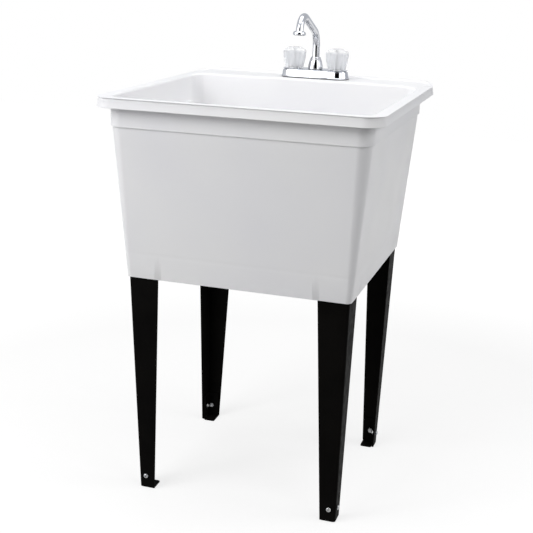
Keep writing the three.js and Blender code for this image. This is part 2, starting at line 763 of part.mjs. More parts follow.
function stem() {
  const low = cartridgeLow + CARTRIDGE_SET_IN;
  return revolve([
    [0, low],
    [STEM_RADIUS, low],
    [STEM_RADIUS, stemTop],
    [STEM_SCREW_RADIUS, stemTop],
    [STEM_SCREW_RADIUS, stemTop - STEM_SCREW_DEPTH],
    [0, stemTop - STEM_SCREW_DEPTH],
  ], SMALL_STEPS);
}

function knobScrew() {
  const end = stemTop - KNOB_SCREW_LENGTH;
  const head = stemTop + SEAT_GAP * 2 + KNOB_WEB;
  const shank = STEM_SCREW_RADIUS - SEAT_GAP;
  const headRadius = STEM_RADIUS - SEAT_GAP * 2;
  return revolve([
    [0, end],
    [shank, end],
    [shank, head],
    [headRadius, head],
    [headRadius, head + KNOB_SCREW_HEAD],
    [0, head + KNOB_SCREW_HEAD * 1.2],
  ], SMALL_STEPS);
}

// Fluted grip: rings of lobes from the foot up to a domed top, with a bore for the stem and a well for the nut.
function knob() {
  const low = knobLow;
  const high = knobTop;
  const count = KNOB_LOBES * 4;
  const lobed = (radius, z, depth) => {
    const points = [];
    for (let i = 0; i < count; i += 1) {
      const angle = (i * 2 * Math.PI) / count;
      const reach = radius - depth * (1 - Math.abs(Math.cos((angle * KNOB_LOBES) / 2)));
      points.push(new THREE.Vector3(reach * Math.cos(angle), reach * Math.sin(angle), z));
    }
    return points;
  };
  const shoulder = high - KNOB_DOME;
  const grip = loft([
    lobed(KNOB_FOOT_RADIUS - KNOB_FOOT_BAND / 2, low, KNOB_LOBE_DEPTH / 2),
    lobed(KNOB_FOOT_RADIUS, low + KNOB_FOOT_BAND, KNOB_LOBE_DEPTH),
    lobed(KNOB_RADIUS * 0.97, shoulder - KNOB_TAPER_END, KNOB_LOBE_DEPTH),
    lobed(KNOB_RADIUS, shoulder - KNOB_SHOULDER_BAND, KNOB_LOBE_DEPTH),
    lobed(KNOB_RADIUS - KNOB_SHOULDER_BAND / 2, shoulder, KNOB_LOBE_DEPTH * 0.7),
    lobed(KNOB_RADIUS * 0.72, high - KNOB_DOME * 0.4, KNOB_LOBE_DEPTH * 0.3),
    lobed(CAP_RADIUS + KNOB_WEB, high, 0),
  ]);
  const bore = STEM_RADIUS + SEAT_GAP;
  const wellTop = bonnetTop + KNOB_CLEARANCE * 2;
  const floor = stemTop + SEAT_GAP;
  const capSeat = high - CAP_HEIGHT - SEAT_GAP;
  const hollow = revolve([
    [0, low - OVERRUN],
    [KNOB_WELL_RADIUS, low - OVERRUN],
    [KNOB_WELL_RADIUS, wellTop],
    [bore, wellTop],
    [bore, floor],
    [STEM_SCREW_RADIUS, floor],
    [STEM_SCREW_RADIUS, floor + KNOB_WEB],
    [STEM_RADIUS, floor + KNOB_WEB],
    [STEM_RADIUS, capSeat],
    [CAP_RADIUS + SEAT_GAP, capSeat],
    [CAP_RADIUS + SEAT_GAP, high + OVERRUN],
    [0, high + OVERRUN],
  ], SMALL_STEPS);
  return cut(grip, [hollow]);
}

function indexCap() {
  const low = knobTop - CAP_HEIGHT;
  const crown = CAP_HEIGHT / 4;
  return revolve([
    [0, low],
    [CAP_RADIUS, low],
    [CAP_RADIUS, knobTop - crown],
    [CAP_RADIUS * 0.75, knobTop + crown / 2],
    [0, knobTop + crown],
  ]);
}

// Bell-shaped nut that clamps the spout's flange on the post.
const spoutFlangeLow = POST_HEIGHT + SEAT_GAP;

function hub() {
  const low = COVER_HEIGHT + SEAT_GAP;
  const high = COVER_HEIGHT + HUB_HEIGHT;
  const inner = POST_RADIUS + SEAT_GAP;
  const shoulder = spoutFlangeLow + SPOUT_FLANGE_HEIGHT + SEAT_GAP;
  const bore = SPOUT_RADIUS + SPOUT_RUNNING_GAP;
  const bell = (share) => HUB_TOP_RADIUS + (HUB_RADIUS - HUB_TOP_RADIUS) * Math.cos((share * Math.PI) / 2) ** 0.8;
  const side = [];
  const lip = HUB_TOP_RADIUS - bore;
  for (let i = 0; i <= 6; i += 1) side.push([bell(i / 6), low + ((high - low - lip) * i) / 6]);
  return revolve([
    [inner, low],
    ...side,
    [HUB_TOP_RADIUS - lip / 5, high - lip / 2],
    [bore + lip / 4, high],
    [bore, high],
    [bore, shoulder],
    [inner, shoulder],
  ]);
}

// ---- Spout --------------------------------------------------------------------------------------------------

const spoutRingBore = SPOUT_RADIUS + O_RING_THICKNESS + SEAT_GAP * 2;
const spoutFoot = coverBase + SPOUT_FOOT;

// Centre line of the spout, in the plane that runs forward from its column: straights joined by arcs.
function spoutPath() {
  const slope = THREE.MathUtils.degToRad(SPOUT_SLOPE);
  const outlet = THREE.MathUtils.degToRad(SPOUT_OUTLET_TILT);
  const forward = (reach, height) => new THREE.Vector3(0, -reach, height);
  const tangent = SPOUT_LOWER_BEND * Math.tan((Math.PI / 2 - slope) / 2);
  const bendEnd = forward(tangent * Math.cos(slope), SPOUT_COLUMN + tangent * Math.sin(slope));
  const crookStart = forward(SPOUT_SLANT_REACH, SPOUT_COLUMN + SPOUT_SLANT_REACH * Math.tan(slope));
  const points = [forward(0, spoutFoot)];
  const arc = (centre, radius, from, to, steps) => {
    for (let i = 0; i <= steps; i += 1) {
      const angle = from + ((to - from) * i) / steps;
      points.push(forward(centre[0] + radius * Math.cos(angle), centre[1] + radius * Math.sin(angle)));
    }
  };
  const lowerCentre = [SPOUT_LOWER_BEND, SPOUT_COLUMN - tangent];
  arc(lowerCentre, SPOUT_LOWER_BEND, Math.PI, Math.PI / 2 + slope, 5);
  const crookCentre = [
    -crookStart.y + SPOUT_CROOK * Math.sin(slope),
    crookStart.z - SPOUT_CROOK * Math.cos(slope),
  ];
  points.push(bendEnd.lerp(crookStart, 0.5));
  arc(crookCentre, SPOUT_CROOK, Math.PI / 2 + slope, outlet, 8);
  const end = points[points.length - 1];
  const outward = forward(Math.sin(outlet), -Math.cos(outlet));
  points.push(end.clone().addScaledVector(outward, NOZZLE_THROAT));
  return { points, end, outward };
}

// A curve whose equal steps land on the given points, so that a sweep keeps its bends where they are.
class Route extends THREE.Curve {
  constructor(points) {
    super();
    this.points = points;
  }

  getPoint(t) {
    const spans = this.points.length - 1;
    const span = Math.min(Math.floor(t * spans + 1e-6), spans - 1);
    return this.points[span].clone().lerp(this.points[span + 1], t * spans - span);
  }

  getPointAt(u) {
    return this.getPoint(u);
  }

  getTangentAt(u) {
    const spans = this.points.length - 1;
    const station = Math.round(u * spans);
    const before = this.points[Math.max(station - 1, 0)];
    const after = this.points[Math.min(station + 1, spans)];
    const here = this.points[station];
    const arriving = here.clone().sub(before).normalize();
    return after.clone().sub(here).normalize().add(arriving).normalize();
  }
}

function spout() {
  const { points } = spoutPath();
  const section = new THREE.Shape();
  section.absarc(0, 0, SPOUT_RADIUS, 0, 2 * Math.PI);
  const bore = new THREE.Path();
  bore.absarc(0, 0, SPOUT_RADIUS - SPOUT_WALL, 0, 2 * Math.PI, true);
  section.holes.push(bore);
  const settings = {
    steps: points.length - 1,
    extrudePath: new Route(points),
    bevelEnabled: false,
    curveSegments: SMALL_STEPS / 2,
  };
  const pipe = new THREE.ExtrudeGeometry(section, settings);
  const low = spoutFlangeLow;
  const high = low + SPOUT_FLANGE_HEIGHT;
  const flange = tube(SPOUT_FLANGE_RADIUS, SPOUT_RADIUS - SPOUT_WALL / 2, low, high, SMALL_STEPS);
  return join([pipe, flange]);
}

function spoutRing() {
  const radius = O_RING_THICKNESS / 2;
  const torus = new THREE.TorusGeometry(SPOUT_RADIUS + SEAT_GAP + radius, radius, 6, ROUND_STEPS);
  return torus.translate(0, 0, POST_HEIGHT - O_RING_DROP);
}

// Hose-threaded collar round the outlet, drawn down its own axis from the tube's end.
function nozzle() {
  const bore = SPOUT_RADIUS + SEAT_GAP;
  const insertSeat = -NOZZLE_THROAT - SEAT_GAP;
  const low = NOZZLE_THROAT - NOZZLE_LENGTH - NOZZLE_SKIRT;
  const inside = NOZZLE_RADIUS - NOZZLE_WALL;
  const bevel = NOZZLE_WALL / 2;
  return revolve([
    [bore, 0],
    [bore, insertSeat],
    [inside, insertSeat],
    [inside, low],
    [NOZZLE_RADIUS - bevel, low],
    [NOZZLE_RADIUS, low + bevel],
    [NOZZLE_RADIUS, -NOZZLE_SHOULDER],
    [NOZZLE_RADIUS - NOZZLE_SHOULDER * 0.4, -NOZZLE_SHOULDER * 0.35],
    [NOZZLE_RADIUS - NOZZLE_SHOULDER * 1.2, 0],
  ]);
}

function flowInsert() {
  const top = -NOZZLE_THROAT - SEAT_GAP * 2;
  const low = NOZZLE_THROAT - NOZZLE_LENGTH - NOZZLE_SKIRT + OVERRUN;
  const through = (radius) => cylinder(radius, low - OVERRUN, top + OVERRUN, 6);
  const holes = [through(FLOW_CENTRE_HOLE)];
  for (let i = 0; i < FLOW_HOLES; i += 1) {
    const hole = through(FLOW_HOLE_RADIUS).translate(FLOW_HOLE_CIRCLE, 0, 0);
    holes.push(hole.rotateZ((i * 2 * Math.PI) / FLOW_HOLES));
  }
  return cut(cylinder(NOZZLE_RADIUS - NOZZLE_WALL - SEAT_GAP, low, top, SMALL_STEPS), holes);
}

function addTap(parent) {
  const tap = new THREE.Group();
  tap.position.set(TAP_X, RIM_DEPTH / 2 - TAP_SETBACK, deckTop);
  parent.add(tap);
  piece('tap_gasket', gasket(), blackRubber, tap);
  piece('tap_body', tapBody(), brass, tap);
  piece('tap_cover', tapCover(), chrome, tap);
  piece('spout_hub_nut', hub(), chrome, tap);
  const valves = [
    { name: 'hot', side: -1, colour: redPlastic },
    { name: 'cold', side: 1, colour: bluePlastic },
  ];
  for (const { name, side, colour } of valves) {
    const valve = new THREE.Group();
    valve.position.x = side * valveOffset;
    tap.add(valve);
    piece(`${name}_mounting_nut`, mountingNut(), greyPlastic, valve);
    piece(`${name}_cartridge`, cartridge(), greyPlastic, valve);
    const bonnet = hexNut(BONNET_FLATS, STEM_RADIUS + SEAT_GAP, bonnetLow, bonnetTop);
    piece(`${name}_bonnet_nut`, bonnet, chrome, valve);
    piece(`${name}_stem`, stem(), chrome, valve);
    piece(`${name}_knob`, knob(), clearAcrylic, valve);
    piece(`${name}_knob_screw`, knobScrew(), zincSteel, valve);
    piece(`${name}_index_cap`, indexCap(), colour, valve);
  }
  piece('spout', spout(), chrome, tap);
  piece('spout_o_ring', spoutRing(), blackRubber, tap);
  const { end } = spoutPath();
  const outlet = new THREE.Group();
  outlet.position.copy(end);
  outlet.rotation.x = -THREE.MathUtils.degToRad(SPOUT_OUTLET_TILT);
  tap.add(outlet);
  piece('nozzle_collar', nozzle(), chrome, outlet);
  piece('nozzle_flow_insert', flowInsert(), greyPlastic, outlet);
}

// ---- Drain --------------------------------------------------------------------------------------------------

function strainer() {
  const low = -FLOOR_THICKNESS - DRAIN_BODY_LENGTH;
  const body = revolve([
    [DRAIN_BORE, low],
    [DRAIN_THREAD, low],
    [DRAIN_THREAD, SEAT_GAP],
    [DRAIN_FLANGE, SEAT_GAP],
    [DRAIN_FLANGE, DRAIN_FLANGE_EDGE],
    [DRAIN_FLANGE - DRAIN_FLANGE_HEIGHT, DRAIN_FLANGE_HEIGHT],
    [DRAIN_BORE + DRAIN_FLANGE_HEIGHT - STOPPER_RIM, DRAIN_FLANGE_HEIGHT],
    [DRAIN_BORE, STOPPER_RIM],
  ]);
  const bars = [];
  const barTop = -STOPPER_HEIGHT;
  for (let i = 0; i < DRAIN_BARS / 2; i += 1) {
    const reach = (DRAIN_BORE + DRAIN_THREAD) / 2;
    const bar = box(-reach, reach, -DRAIN_BAR_WIDTH / 2, DRAIN_BAR_WIDTH / 2, barTop - DRAIN_BAR_WIDTH, barTop);
    bars.push(bar.rotateZ((i * 2 * Math.PI) / DRAIN_BARS));
  }
  return join([body, ...bars]);
}

function stopper() {
  const low = -STOPPER_HEIGHT + SEAT_GAP;
  const rim = STOPPER_RADIUS + STOPPER_RIM;
  const top = DRAIN_FLANGE_HEIGHT;
  const grip = STOPPER_GRIP_RADIUS;
  return revolve([
    [0, low],
    [STOPPER_RADIUS - STOPPER_RIM, low],
    [STOPPER_RADIUS, 0],
    [rim, STOPPER_RIM + SEAT_GAP],
    [rim, top + STOPPER_RIM],
    [grip * 0.8, top + grip / 2],
    [grip * 0.6, top + STOPPER_GRIP_HEIGHT * 0.65],
    [grip, top + STOPPER_GRIP_HEIGHT * 0.8],
    [grip * 0.8, top + STOPPER_GRIP_HEIGHT * 0.95],
    [0, top + STOPPER_GRIP_HEIGHT],
  ]);
}

function addDrain(parent) {
  const drain = new THREE.Group();
  drain.position.set(0, DRAIN_Y, drainSeatHeight);
  parent.add(drain);
  const bore = DRAIN_THREAD + SEAT_GAP;
  let face = -FLOOR_THICKNESS - SEAT_GAP;
  piece('drain_strainer', strainer(), greyPlastic, drain);
  piece('drain_stopper', stopper(), blackRubber, drain);
  const ringRadius = DRAIN_FLANGE - DRAIN_FLANGE_HEIGHT;
  piece('drain_gasket', tube(ringRadius, bore, face - DRAIN_GASKET_HEIGHT, face), blackRubber, drain);
  face -= DRAIN_GASKET_HEIGHT + SEAT_GAP;
  piece('drain_friction_ring', tube(ringRadius, bore, face - FRICTION_RING_HEIGHT, face), greyPlastic, drain);
  face -= FRICTION_RING_HEIGHT + SEAT_GAP;
  piece('drain_lock_nut', hexNut(DRAIN_NUT_FLATS, bore, face - DRAIN_NUT_HEIGHT, face), greyPlastic, drain);
  const bodyEnd = -FLOOR_THICKNESS - DRAIN_BODY_LENGTH;
  const washerTop = bodyEnd - SEAT_GAP;
  const washerLow = washerTop - SLIP_WASHER_HEIGHT;
  const washerRadius = DRAIN_THREAD + OVERRUN;
  const pipeBore = TAILPIECE_RADIUS + SEAT_GAP;
  piece('slip_washer', tube(washerRadius, pipeBore, washerLow, washerTop), greyPlastic, drain);
  const pipeTop = bodyEnd + TAILPIECE_GRIP;
  const pipe = tube(TAILPIECE_RADIUS, TAILPIECE_RADIUS - TAILPIECE_WALL, pipeTop - TAILPIECE_LENGTH, pipeTop);
  piece('drain_tailpiece', pipe, greyPlastic, drain);
  const slipSeat = washerLow - SEAT_GAP;
  const slipLow = slipSeat - SLIP_NUT_FLOOR;
  const slipTop = slipLow + SLIP_NUT_HEIGHT;
  const slipBore = washerRadius + SEAT_GAP;
  const slip = revolve([
    [pipeBore, slipLow],
    [SLIP_NUT_RADIUS, slipLow],
    [SLIP_NUT_RADIUS, slipTop],
    [slipBore, slipTop],
    [slipBore, slipSeat],
    [pipeBore, slipSeat],
  ]);
  piece('slip_nut', slip, greyPlastic, drain);
}

// ---- Assembly -----------------------------------------------------------------------------------------------

const sink = new THREE.Group();
piece('tub', tub(), whitePlastic, sink);
for (const quarter of quarters) addLeg(quarter, sink);
addTap(sink);
addDrain(sink);

export default sink;
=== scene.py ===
# Utility laundry sink: a moulded white tub on four black steel legs, with a chrome tap and a basket drain.
# Sections run in the order in which the sink is put together. The camera and the studio are in metres.
# Lengths of the sink are in millimetres, +Z up, with the front towards -Y, and become metres when a mesh is
# made.

import math

import bmesh
import bpy
from mathutils import Matrix, Vector


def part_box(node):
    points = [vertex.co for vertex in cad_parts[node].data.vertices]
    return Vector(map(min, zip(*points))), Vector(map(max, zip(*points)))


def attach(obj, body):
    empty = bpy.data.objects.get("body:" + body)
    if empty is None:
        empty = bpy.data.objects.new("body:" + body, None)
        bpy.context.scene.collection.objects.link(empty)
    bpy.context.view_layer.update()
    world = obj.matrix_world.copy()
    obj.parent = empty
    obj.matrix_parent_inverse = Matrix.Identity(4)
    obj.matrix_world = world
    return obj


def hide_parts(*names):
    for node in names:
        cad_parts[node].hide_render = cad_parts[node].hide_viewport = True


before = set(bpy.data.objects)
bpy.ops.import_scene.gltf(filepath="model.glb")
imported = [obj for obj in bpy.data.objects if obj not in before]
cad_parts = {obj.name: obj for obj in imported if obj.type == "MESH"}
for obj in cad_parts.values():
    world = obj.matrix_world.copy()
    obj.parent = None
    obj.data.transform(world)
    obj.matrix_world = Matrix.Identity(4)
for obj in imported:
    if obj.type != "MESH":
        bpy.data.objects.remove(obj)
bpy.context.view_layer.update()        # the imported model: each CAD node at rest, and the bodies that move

scene = bpy.context.scene
scene.view_settings.view_transform = "Standard"


# ---- Camera ----------------------------------------------------------------------------------------------
# A long lens, a little over two metres in front of the sink and above its rim, turned to the left.

CAMERA_PLACE = Vector((0.65531, -2.13933, 1.14051))
CAMERA_YAW = math.radians(17.35)
CAMERA_PITCH = math.radians(-16.49)
CAMERA_ROLL = math.radians(1.77)
CAMERA_SENSOR = 36
CAMERA_LENS = 70.62

lens = bpy.data.cameras.new("camera")
lens.sensor_width = CAMERA_SENSOR
lens.lens = CAMERA_LENS
camera = bpy.data.objects.new("camera", lens)
scene.collection.objects.link(camera)
ahead = Vector((
    -math.sin(CAMERA_YAW) * math.cos(CAMERA_PITCH),
    math.cos(CAMERA_YAW) * math.cos(CAMERA_PITCH),
    math.sin(CAMERA_PITCH),
))
level = Vector((math.cos(CAMERA_YAW), math.sin(CAMERA_YAW), 0))
upright = level.cross(ahead)
right = level * math.cos(CAMERA_ROLL) + upright * math.sin(CAMERA_ROLL)
up = upright * math.cos(CAMERA_ROLL) - level * math.sin(CAMERA_ROLL)
turn = Matrix((right, up, -ahead)).transposed().to_4x4()
camera.matrix_world = Matrix.Translation(CAMERA_PLACE) @ turn
scene.camera = camera


# ---- Studio ----------------------------------------------------------------------------------------------
# A white floor and white surroundings, with softboxes at the left, at the right and overhead. Polished
# metal sees a room that is bright in front and pale grey at the sides, overhead and behind, and a dark
# curtain behind the camera.

FLOOR_HALF = 5.0
FLOOR_GREY = 0.3
FLOOR_GLOW = 0.76
SHADOW_NEAR = 1.0
SHADOW_FAR = 2.2
FLOOR_FADE = {"From Min": SHADOW_NEAR, "From Max": SHADOW_FAR, "To Min": FLOOR_GLOW, "To Max": 1}
ROOM_FRONT = (-0.1, -0.995, 0)
ROOM_BEHIND = (0.66, 0.68, 0.72, 1)
ROOM_SIDES = (0.84, 0.86, 0.9, 1)
ROOM_AHEAD = (1, 1, 1, 1)
ROOM_OVERHEAD = (0.8, 0.82, 0.86, 1)
ROOM_STOPS = (0.15, 0.5, 0.78)
CEILING_FROM = 0.5
CEILING_TO = 0.95
SOFTBOXES = [
    # name, place, aimed at, width, height, watts
    ("softbox_left_low", (-2.3, -1.8, 1.2), (0, 0, 0.7), 1.8, 1.8, 31),
    ("softbox_left_high", (-1.35, -2.3, 2.5), (0, 0, 0.8), 1.8, 1.8, 46),
    ("softbox_right_front", (2.3, -1.6, 1.7), (0, 0, 0.8), 1.4, 2.0, 11),
    ("softbox_right_side", (3.0, 0.2, 2.1), (0, 0, 0.8), 1.6, 1.8, 35),
    ("softbox_top", (0, 0, 3.2), (0, 0, 0.8), 2.4, 2.4, 46),
]


def ray_is(nodes, links, *kinds):
    """A socket that is 1 for rays of any of the given kinds, and 0 for all others."""
    path = nodes.new("ShaderNodeLightPath")
    found = path.outputs[kinds[0]]
    for kind in kinds[1:]:
        either = nodes.new("ShaderNodeMath")
        either.operation = "MAXIMUM"
        links.new(found, either.inputs[0])
        links.new(path.outputs[kind], either.inputs[1])
        found = either.outputs[0]
    return found


SEEN = ("Is Camera Ray", "Is Glossy Ray", "Is Transmission Ray")

world = bpy.data.worlds.new("studio")
scene.world = world
world.use_nodes = True
nodes, links = world.node_tree.nodes, world.node_tree.links
backdrop = nodes["Background"]
backdrop.inputs["Color"].default_value = (1, 1, 1, 1)
links.new(ray_is(nodes, links, *SEEN), backdrop.inputs["Strength"])
direction = nodes.new("ShaderNodeTexCoord")
frontal = nodes.new("ShaderNodeVectorMath")
frontal.operation = "DOT_PRODUCT"
frontal.inputs[1].default_value = ROOM_FRONT
links.new(direction.outputs["Generated"], frontal.inputs[0])
walls = nodes.new("ShaderNodeValToRGB")
facing_share = nodes.new("ShaderNodeMapRange")
facing_share.inputs["From Min"].default_value = -1
links.new(frontal.outputs["Value"], facing_share.inputs["Value"])
links.new(facing_share.outputs["Result"], walls.inputs["Fac"])
walls.color_ramp.elements[0].position = ROOM_STOPS[0]
walls.color_ramp.elements[0].color = ROOM_BEHIND
walls.color_ramp.elements[1].position = ROOM_STOPS[2]
walls.color_ramp.elements[1].color = ROOM_AHEAD
side_wall = walls.color_ramp.elements.new(ROOM_STOPS[1])
side_wall.color = ROOM_SIDES
heights = nodes.new("ShaderNodeSeparateXYZ")
links.new(direction.outputs["Generated"], heights.inputs[0])
ceiling = nodes.new("ShaderNodeMapRange")
ceiling.inputs["From Min"].default_value = CEILING_FROM
ceiling.inputs["From Max"].default_value = CEILING_TO
links.new(heights.outputs["Z"], ceiling.inputs["Value"])
overhead = nodes.new("ShaderNodeMix")
overhead.data_type = "RGBA"
overhead.inputs["B"].default_value = ROOM_OVERHEAD
links.new(ceiling.outputs["Result"], overhead.inputs["Factor"])
links.new(walls.outputs["Color"], overhead.inputs["A"])
metal_room = nodes.new("ShaderNodeBackground")
links.new(overhead.outputs["Result"], metal_room.inputs["Color"])
choice = nodes.new("ShaderNodeMixShader")
links.new(ray_is(nodes, links, "Is Glossy Ray"), choice.inputs[0])
links.new(backdrop.outputs[0], choice.inputs[1])
links.new(metal_room.outputs[0], choice.inputs[2])
links.new(choice.outputs[0], nodes["World Output"].inputs["Surface"])

floor_mesh = bpy.data.meshes.new("floor")
floor_mesh.from_pydata([(x * FLOOR_HALF, y * FLOOR_HALF, 0) for x, y in ((-1, -1), (1, -1), (1, 1), (-1, 1))],
                       [], [(0, 1, 2, 3)])
floor = bpy.data.objects.new("floor", floor_mesh)
scene.collection.objects.link(floor)
floor_white = bpy.data.materials.new("floor_white")
floor_white.use_nodes = True
nodes, links = floor_white.node_tree.nodes, floor_white.node_tree.links
nodes.remove(nodes["Principled BSDF"])
matt = nodes.new("ShaderNodeBsdfDiffuse")
matt.inputs["Color"].default_value = (FLOOR_GREY, FLOOR_GREY, FLOOR_GREY, 1)
glow = nodes.new("ShaderNodeEmission")
glow.inputs["Color"].default_value = (1, 1, 1, 1)
place = nodes.new("ShaderNodeNewGeometry")
away = nodes.new("ShaderNodeVectorMath")
away.operation = "LENGTH"
links.new(place.outputs["Position"], away.inputs[0])
fade = nodes.new("ShaderNodeMapRange")
for socket_name, value in FLOOR_FADE.items():
    fade.inputs[socket_name].default_value = value
links.new(away.outputs["Value"], fade.inputs["Value"])
dim = nodes.new("ShaderNodeMath")
dim.operation = "MULTIPLY"
links.new(ray_is(nodes, links, *SEEN), dim.inputs[0])
links.new(fade.outputs["Result"], dim.inputs[1])
links.new(dim.outputs[0], glow.inputs["Strength"])
both = nodes.new("ShaderNodeAddShader")
links.new(matt.outputs[0], both.inputs[0])
links.new(glow.outputs[0], both.inputs[1])
links.new(both.outputs[0], nodes["Material Output"].inputs["Surface"])
floor_mesh.materials.append(floor_white)

for name, place, target, width, height, watts in SOFTBOXES:
    lamp = bpy.data.lights.new(name, "AREA")
    lamp.shape = "RECTANGLE"
    lamp.size = width
    lamp.size_y = height
    lamp.energy = watts
    softbox = bpy.data.objects.new(name, lamp)
    softbox.location = place
    softbox.rotation_euler = (Vector(target) - Vector(place)).to_track_quat("-Z", "Y").to_euler()
    scene.collection.objects.link(softbox)

CURTAIN_DISTANCE = 3.0
CURTAIN_HALF = 1.4
CURTAIN_HEIGHT = 3.3
CURTAIN_TONE = 0.004
curtain_away = Vector((math.sin(CAMERA_YAW), -math.cos(CAMERA_YAW), 0))
curtain_side = Vector((math.cos(CAMERA_YAW), math.sin(CAMERA_YAW), 0))
curtain_mesh = bpy.data.meshes.new("dark_curtain")
curtain_mesh.from_pydata([
    curtain_away * CURTAIN_DISTANCE + curtain_side * CURTAIN_HALF * side + Vector((0, 0, height))
    for side, height in ((-1, 0), (1, 0), (1, CURTAIN_HEIGHT), (-1, CURTAIN_HEIGHT))
], [], [(0, 1, 2, 3)])
curtain = bpy.data.objects.new("dark_curtain", curtain_mesh)
scene.collection.objects.link(curtain)
curtain_black = bpy.data.materials.new("curtain_black")
curtain_black.use_nodes = True
curtain_shader = curtain_black.node_tree.nodes["Principled BSDF"]
curtain_shader.inputs["Base Color"].default_value = (CURTAIN_TONE, CURTAIN_TONE, CURTAIN_TONE, 1)
curtain_shader.inputs["Roughness"].default_value = 1
curtain_shader.inputs["Specular IOR Level"].default_value = 0
curtain_mesh.materials.append(curtain_black)
curtain.visible_camera = False
curtain.visible_diffuse = False
curtain.visible_shadow = False
curtain.visible_transmission = False


# ---- Tub -------------------------------------------------------------------------------------------------
# One injection moulding in white polypropylene: rim with a turned-down lip, collar, tapered walls, and a
# skirt with a socket for a leg in each corner. Behind the basin it is hollow and open at the back, where
# the tap is fitted. Its skin is satin, and shows the thicker plastic where ribs and floor join it.

tub_low, tub_high = (corner * 1000 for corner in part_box("tub"))
RIM_WIDTH = tub_high.x - tub_low.x
RIM_DEPTH = tub_high.y - tub_low.y
SKIRT_HEIGHT = tub_low.z
BEAD_RISE = 3
DECK_RISE = 4
RIM_HEIGHT = tub_high.z - DECK_RISE - BEAD_RISE
RIM_CORNER = 40
RIM_EDGE = 3
LIP_DROP = 20
LIP_WALL = 3
SIDE_LEDGE = 23
BACK_LEDGE = 46
MOUTH_EDGE = 5
DECK_DEPTH = 110
BEAD_WIDTH = 11
WALL = 3.5
COLLAR_DROP = 60
COLLAR_CORNER = 30
COLLAR_BEAD = 0.5
RIDGE_STEP = 3
RIDGE_SLOPE = 1.5
SKIRT_WIDTH = 478
SKIRT_DEPTH = 476
SKIRT_CORNER = 12
SKIRT_EDGE = 1.2
BASIN_DEPTH = 318
BACK_WALL_LEAN = 20
FLOOR_THICKNESS = 4
FLOOR_FALL = 8
FLOOR_FILLET = 12
LEG_SHELF = 12
SINK_HALF = 7
SINK_DEPTH = 0.28
HATCH_WIDTH = 400
HATCH_SILL = 575
HATCH_CORNER = 20
DECK_HOLE = 13
DRAIN_Y = -38
DRAIN_HOLE = 23
DRAIN_SEAT = 41
DRAIN_RECESS = 3
TUB_GLOSS = 0.3
CORNER_STEPS = 14
ROUND_STEPS = 64

ridge = RIM_HEIGHT - COLLAR_DROP
basin_floor = RIM_HEIGHT - BASIN_DEPTH
floor_underside = basin_floor - FLOOR_THICKNESS
drain_seat = basin_floor - FLOOR_FALL - DRAIN_RECESS
rim_underside = RIM_HEIGHT - WALL
deck_top = RIM_HEIGHT + DECK_RISE
deck_underside = rim_underside + DECK_RISE
middle_y = (SIDE_LEDGE - BACK_LEDGE) / 2


def outline(half, front, back, corner):
    """A rounded rectangle: half its width, its front and back in Y, and its corners' radius."""
    return {"half": half, "front": front, "back": back, "corner": corner}


def inset(shape, distance):
    """The same outline drawn in by a distance all round."""
    return outline(shape["half"] - distance, shape["front"] + distance, shape["back"] - distance,
                   max(shape["corner"] - distance, 0.5))


def circle(radius, y=0.0):
    """A circle as an outline, so that it has as many points as the others."""
    return outline(radius, y - radius, y + radius, radius)


def ring(shape, z, rise=0.0):
    """Points round a rounded rectangle, anticlockwise from above. The back corners climb by rise."""
    half, front, back = shape["half"], shape["front"], shape["back"]
    radius = min(shape["corner"], half, (back - front) / 2)
    centres = [
        (half - radius, back - radius),
        (radius - half, back - radius),
        (radius - half, front + radius),
        (half - radius, front + radius),
    ]
    points = []
    for quarter, (x, y) in enumerate(centres):
        for i in range(CORNER_STEPS + 1):
            share = i / CORNER_STEPS
            angle = (quarter + share) * math.pi / 2
            climb = (share, 1 - share, 0, 0)[quarter]
            height = z + rise * climb * climb * (3 - 2 * climb)
            points.append(Vector((x + radius * math.cos(angle), y + radius * math.sin(angle), height)))
    return points


def loft(rings, closed=False):
    """Points and faces of the skin through rings that have equal numbers of points."""
    count = len(rings[0])
    faces = []
    for row in range(len(rings) if closed else len(rings) - 1):
        low, high = row * count, (row + 1) % len(rings) * count
        for i in range(count):
            after = (i + 1) % count
            faces.append((low + i, low + after, high + after, high + i))
    if not closed:
        faces.append(tuple(reversed(range(count))))
        faces.append(tuple(range((len(rings) - 1) * count, len(rings) * count)))
    return [point for row in rings for point in row], faces


def solid(name, points, faces, place=None):
    """A closed mesh object from points in millimetres, moved by the matrix place if there is one."""
    mesh = bpy.data.meshes.new(name)
    mesh.from_pydata([tuple(point) for point in points], [], faces)
    if place is not None:
        mesh.transform(place)
    mesh.transform(Matrix.Scale(0.001, 4))
    build = bmesh.new()
    build.from_mesh(mesh)
    bmesh.ops.remove_doubles(build, verts=build.verts, dist=1e-7)
    bmesh.ops.dissolve_degenerate(build, dist=1e-7, edges=build.edges)
    bmesh.ops.recalc_face_normals(build, faces=build.faces)
    build.to_mesh(mesh)
    build.free()
    made = bpy.data.objects.new(name, mesh)
    scene.collection.objects.link(made)
    return made


def combined(target, tools, operation):
    """Cuts the tools from the target, or joins them to it, and takes the tools away."""
    for tool in tools:
        step = target.modifiers.new("combine", "BOOLEAN")
        step.operation = operation
        step.solver = "EXACT"
        step.object = tool
    bake(target)
    for tool in tools:
        mesh = tool.data
        bpy.data.objects.remove(tool)
        bpy.data.meshes.remove(mesh)
    return target


def bake(target):
    """Keeps the result of an object's modifiers as its mesh."""
    bpy.context.view_layer.update()
    graph = bpy.context.evaluated_depsgraph_get()
    mesh = bpy.data.meshes.new_from_object(target.evaluated_get(graph))
    target.modifiers.clear()
    mesh.name = target.name
    old = target.data
    target.data = mesh
    bpy.data.meshes.remove(old)
    return target


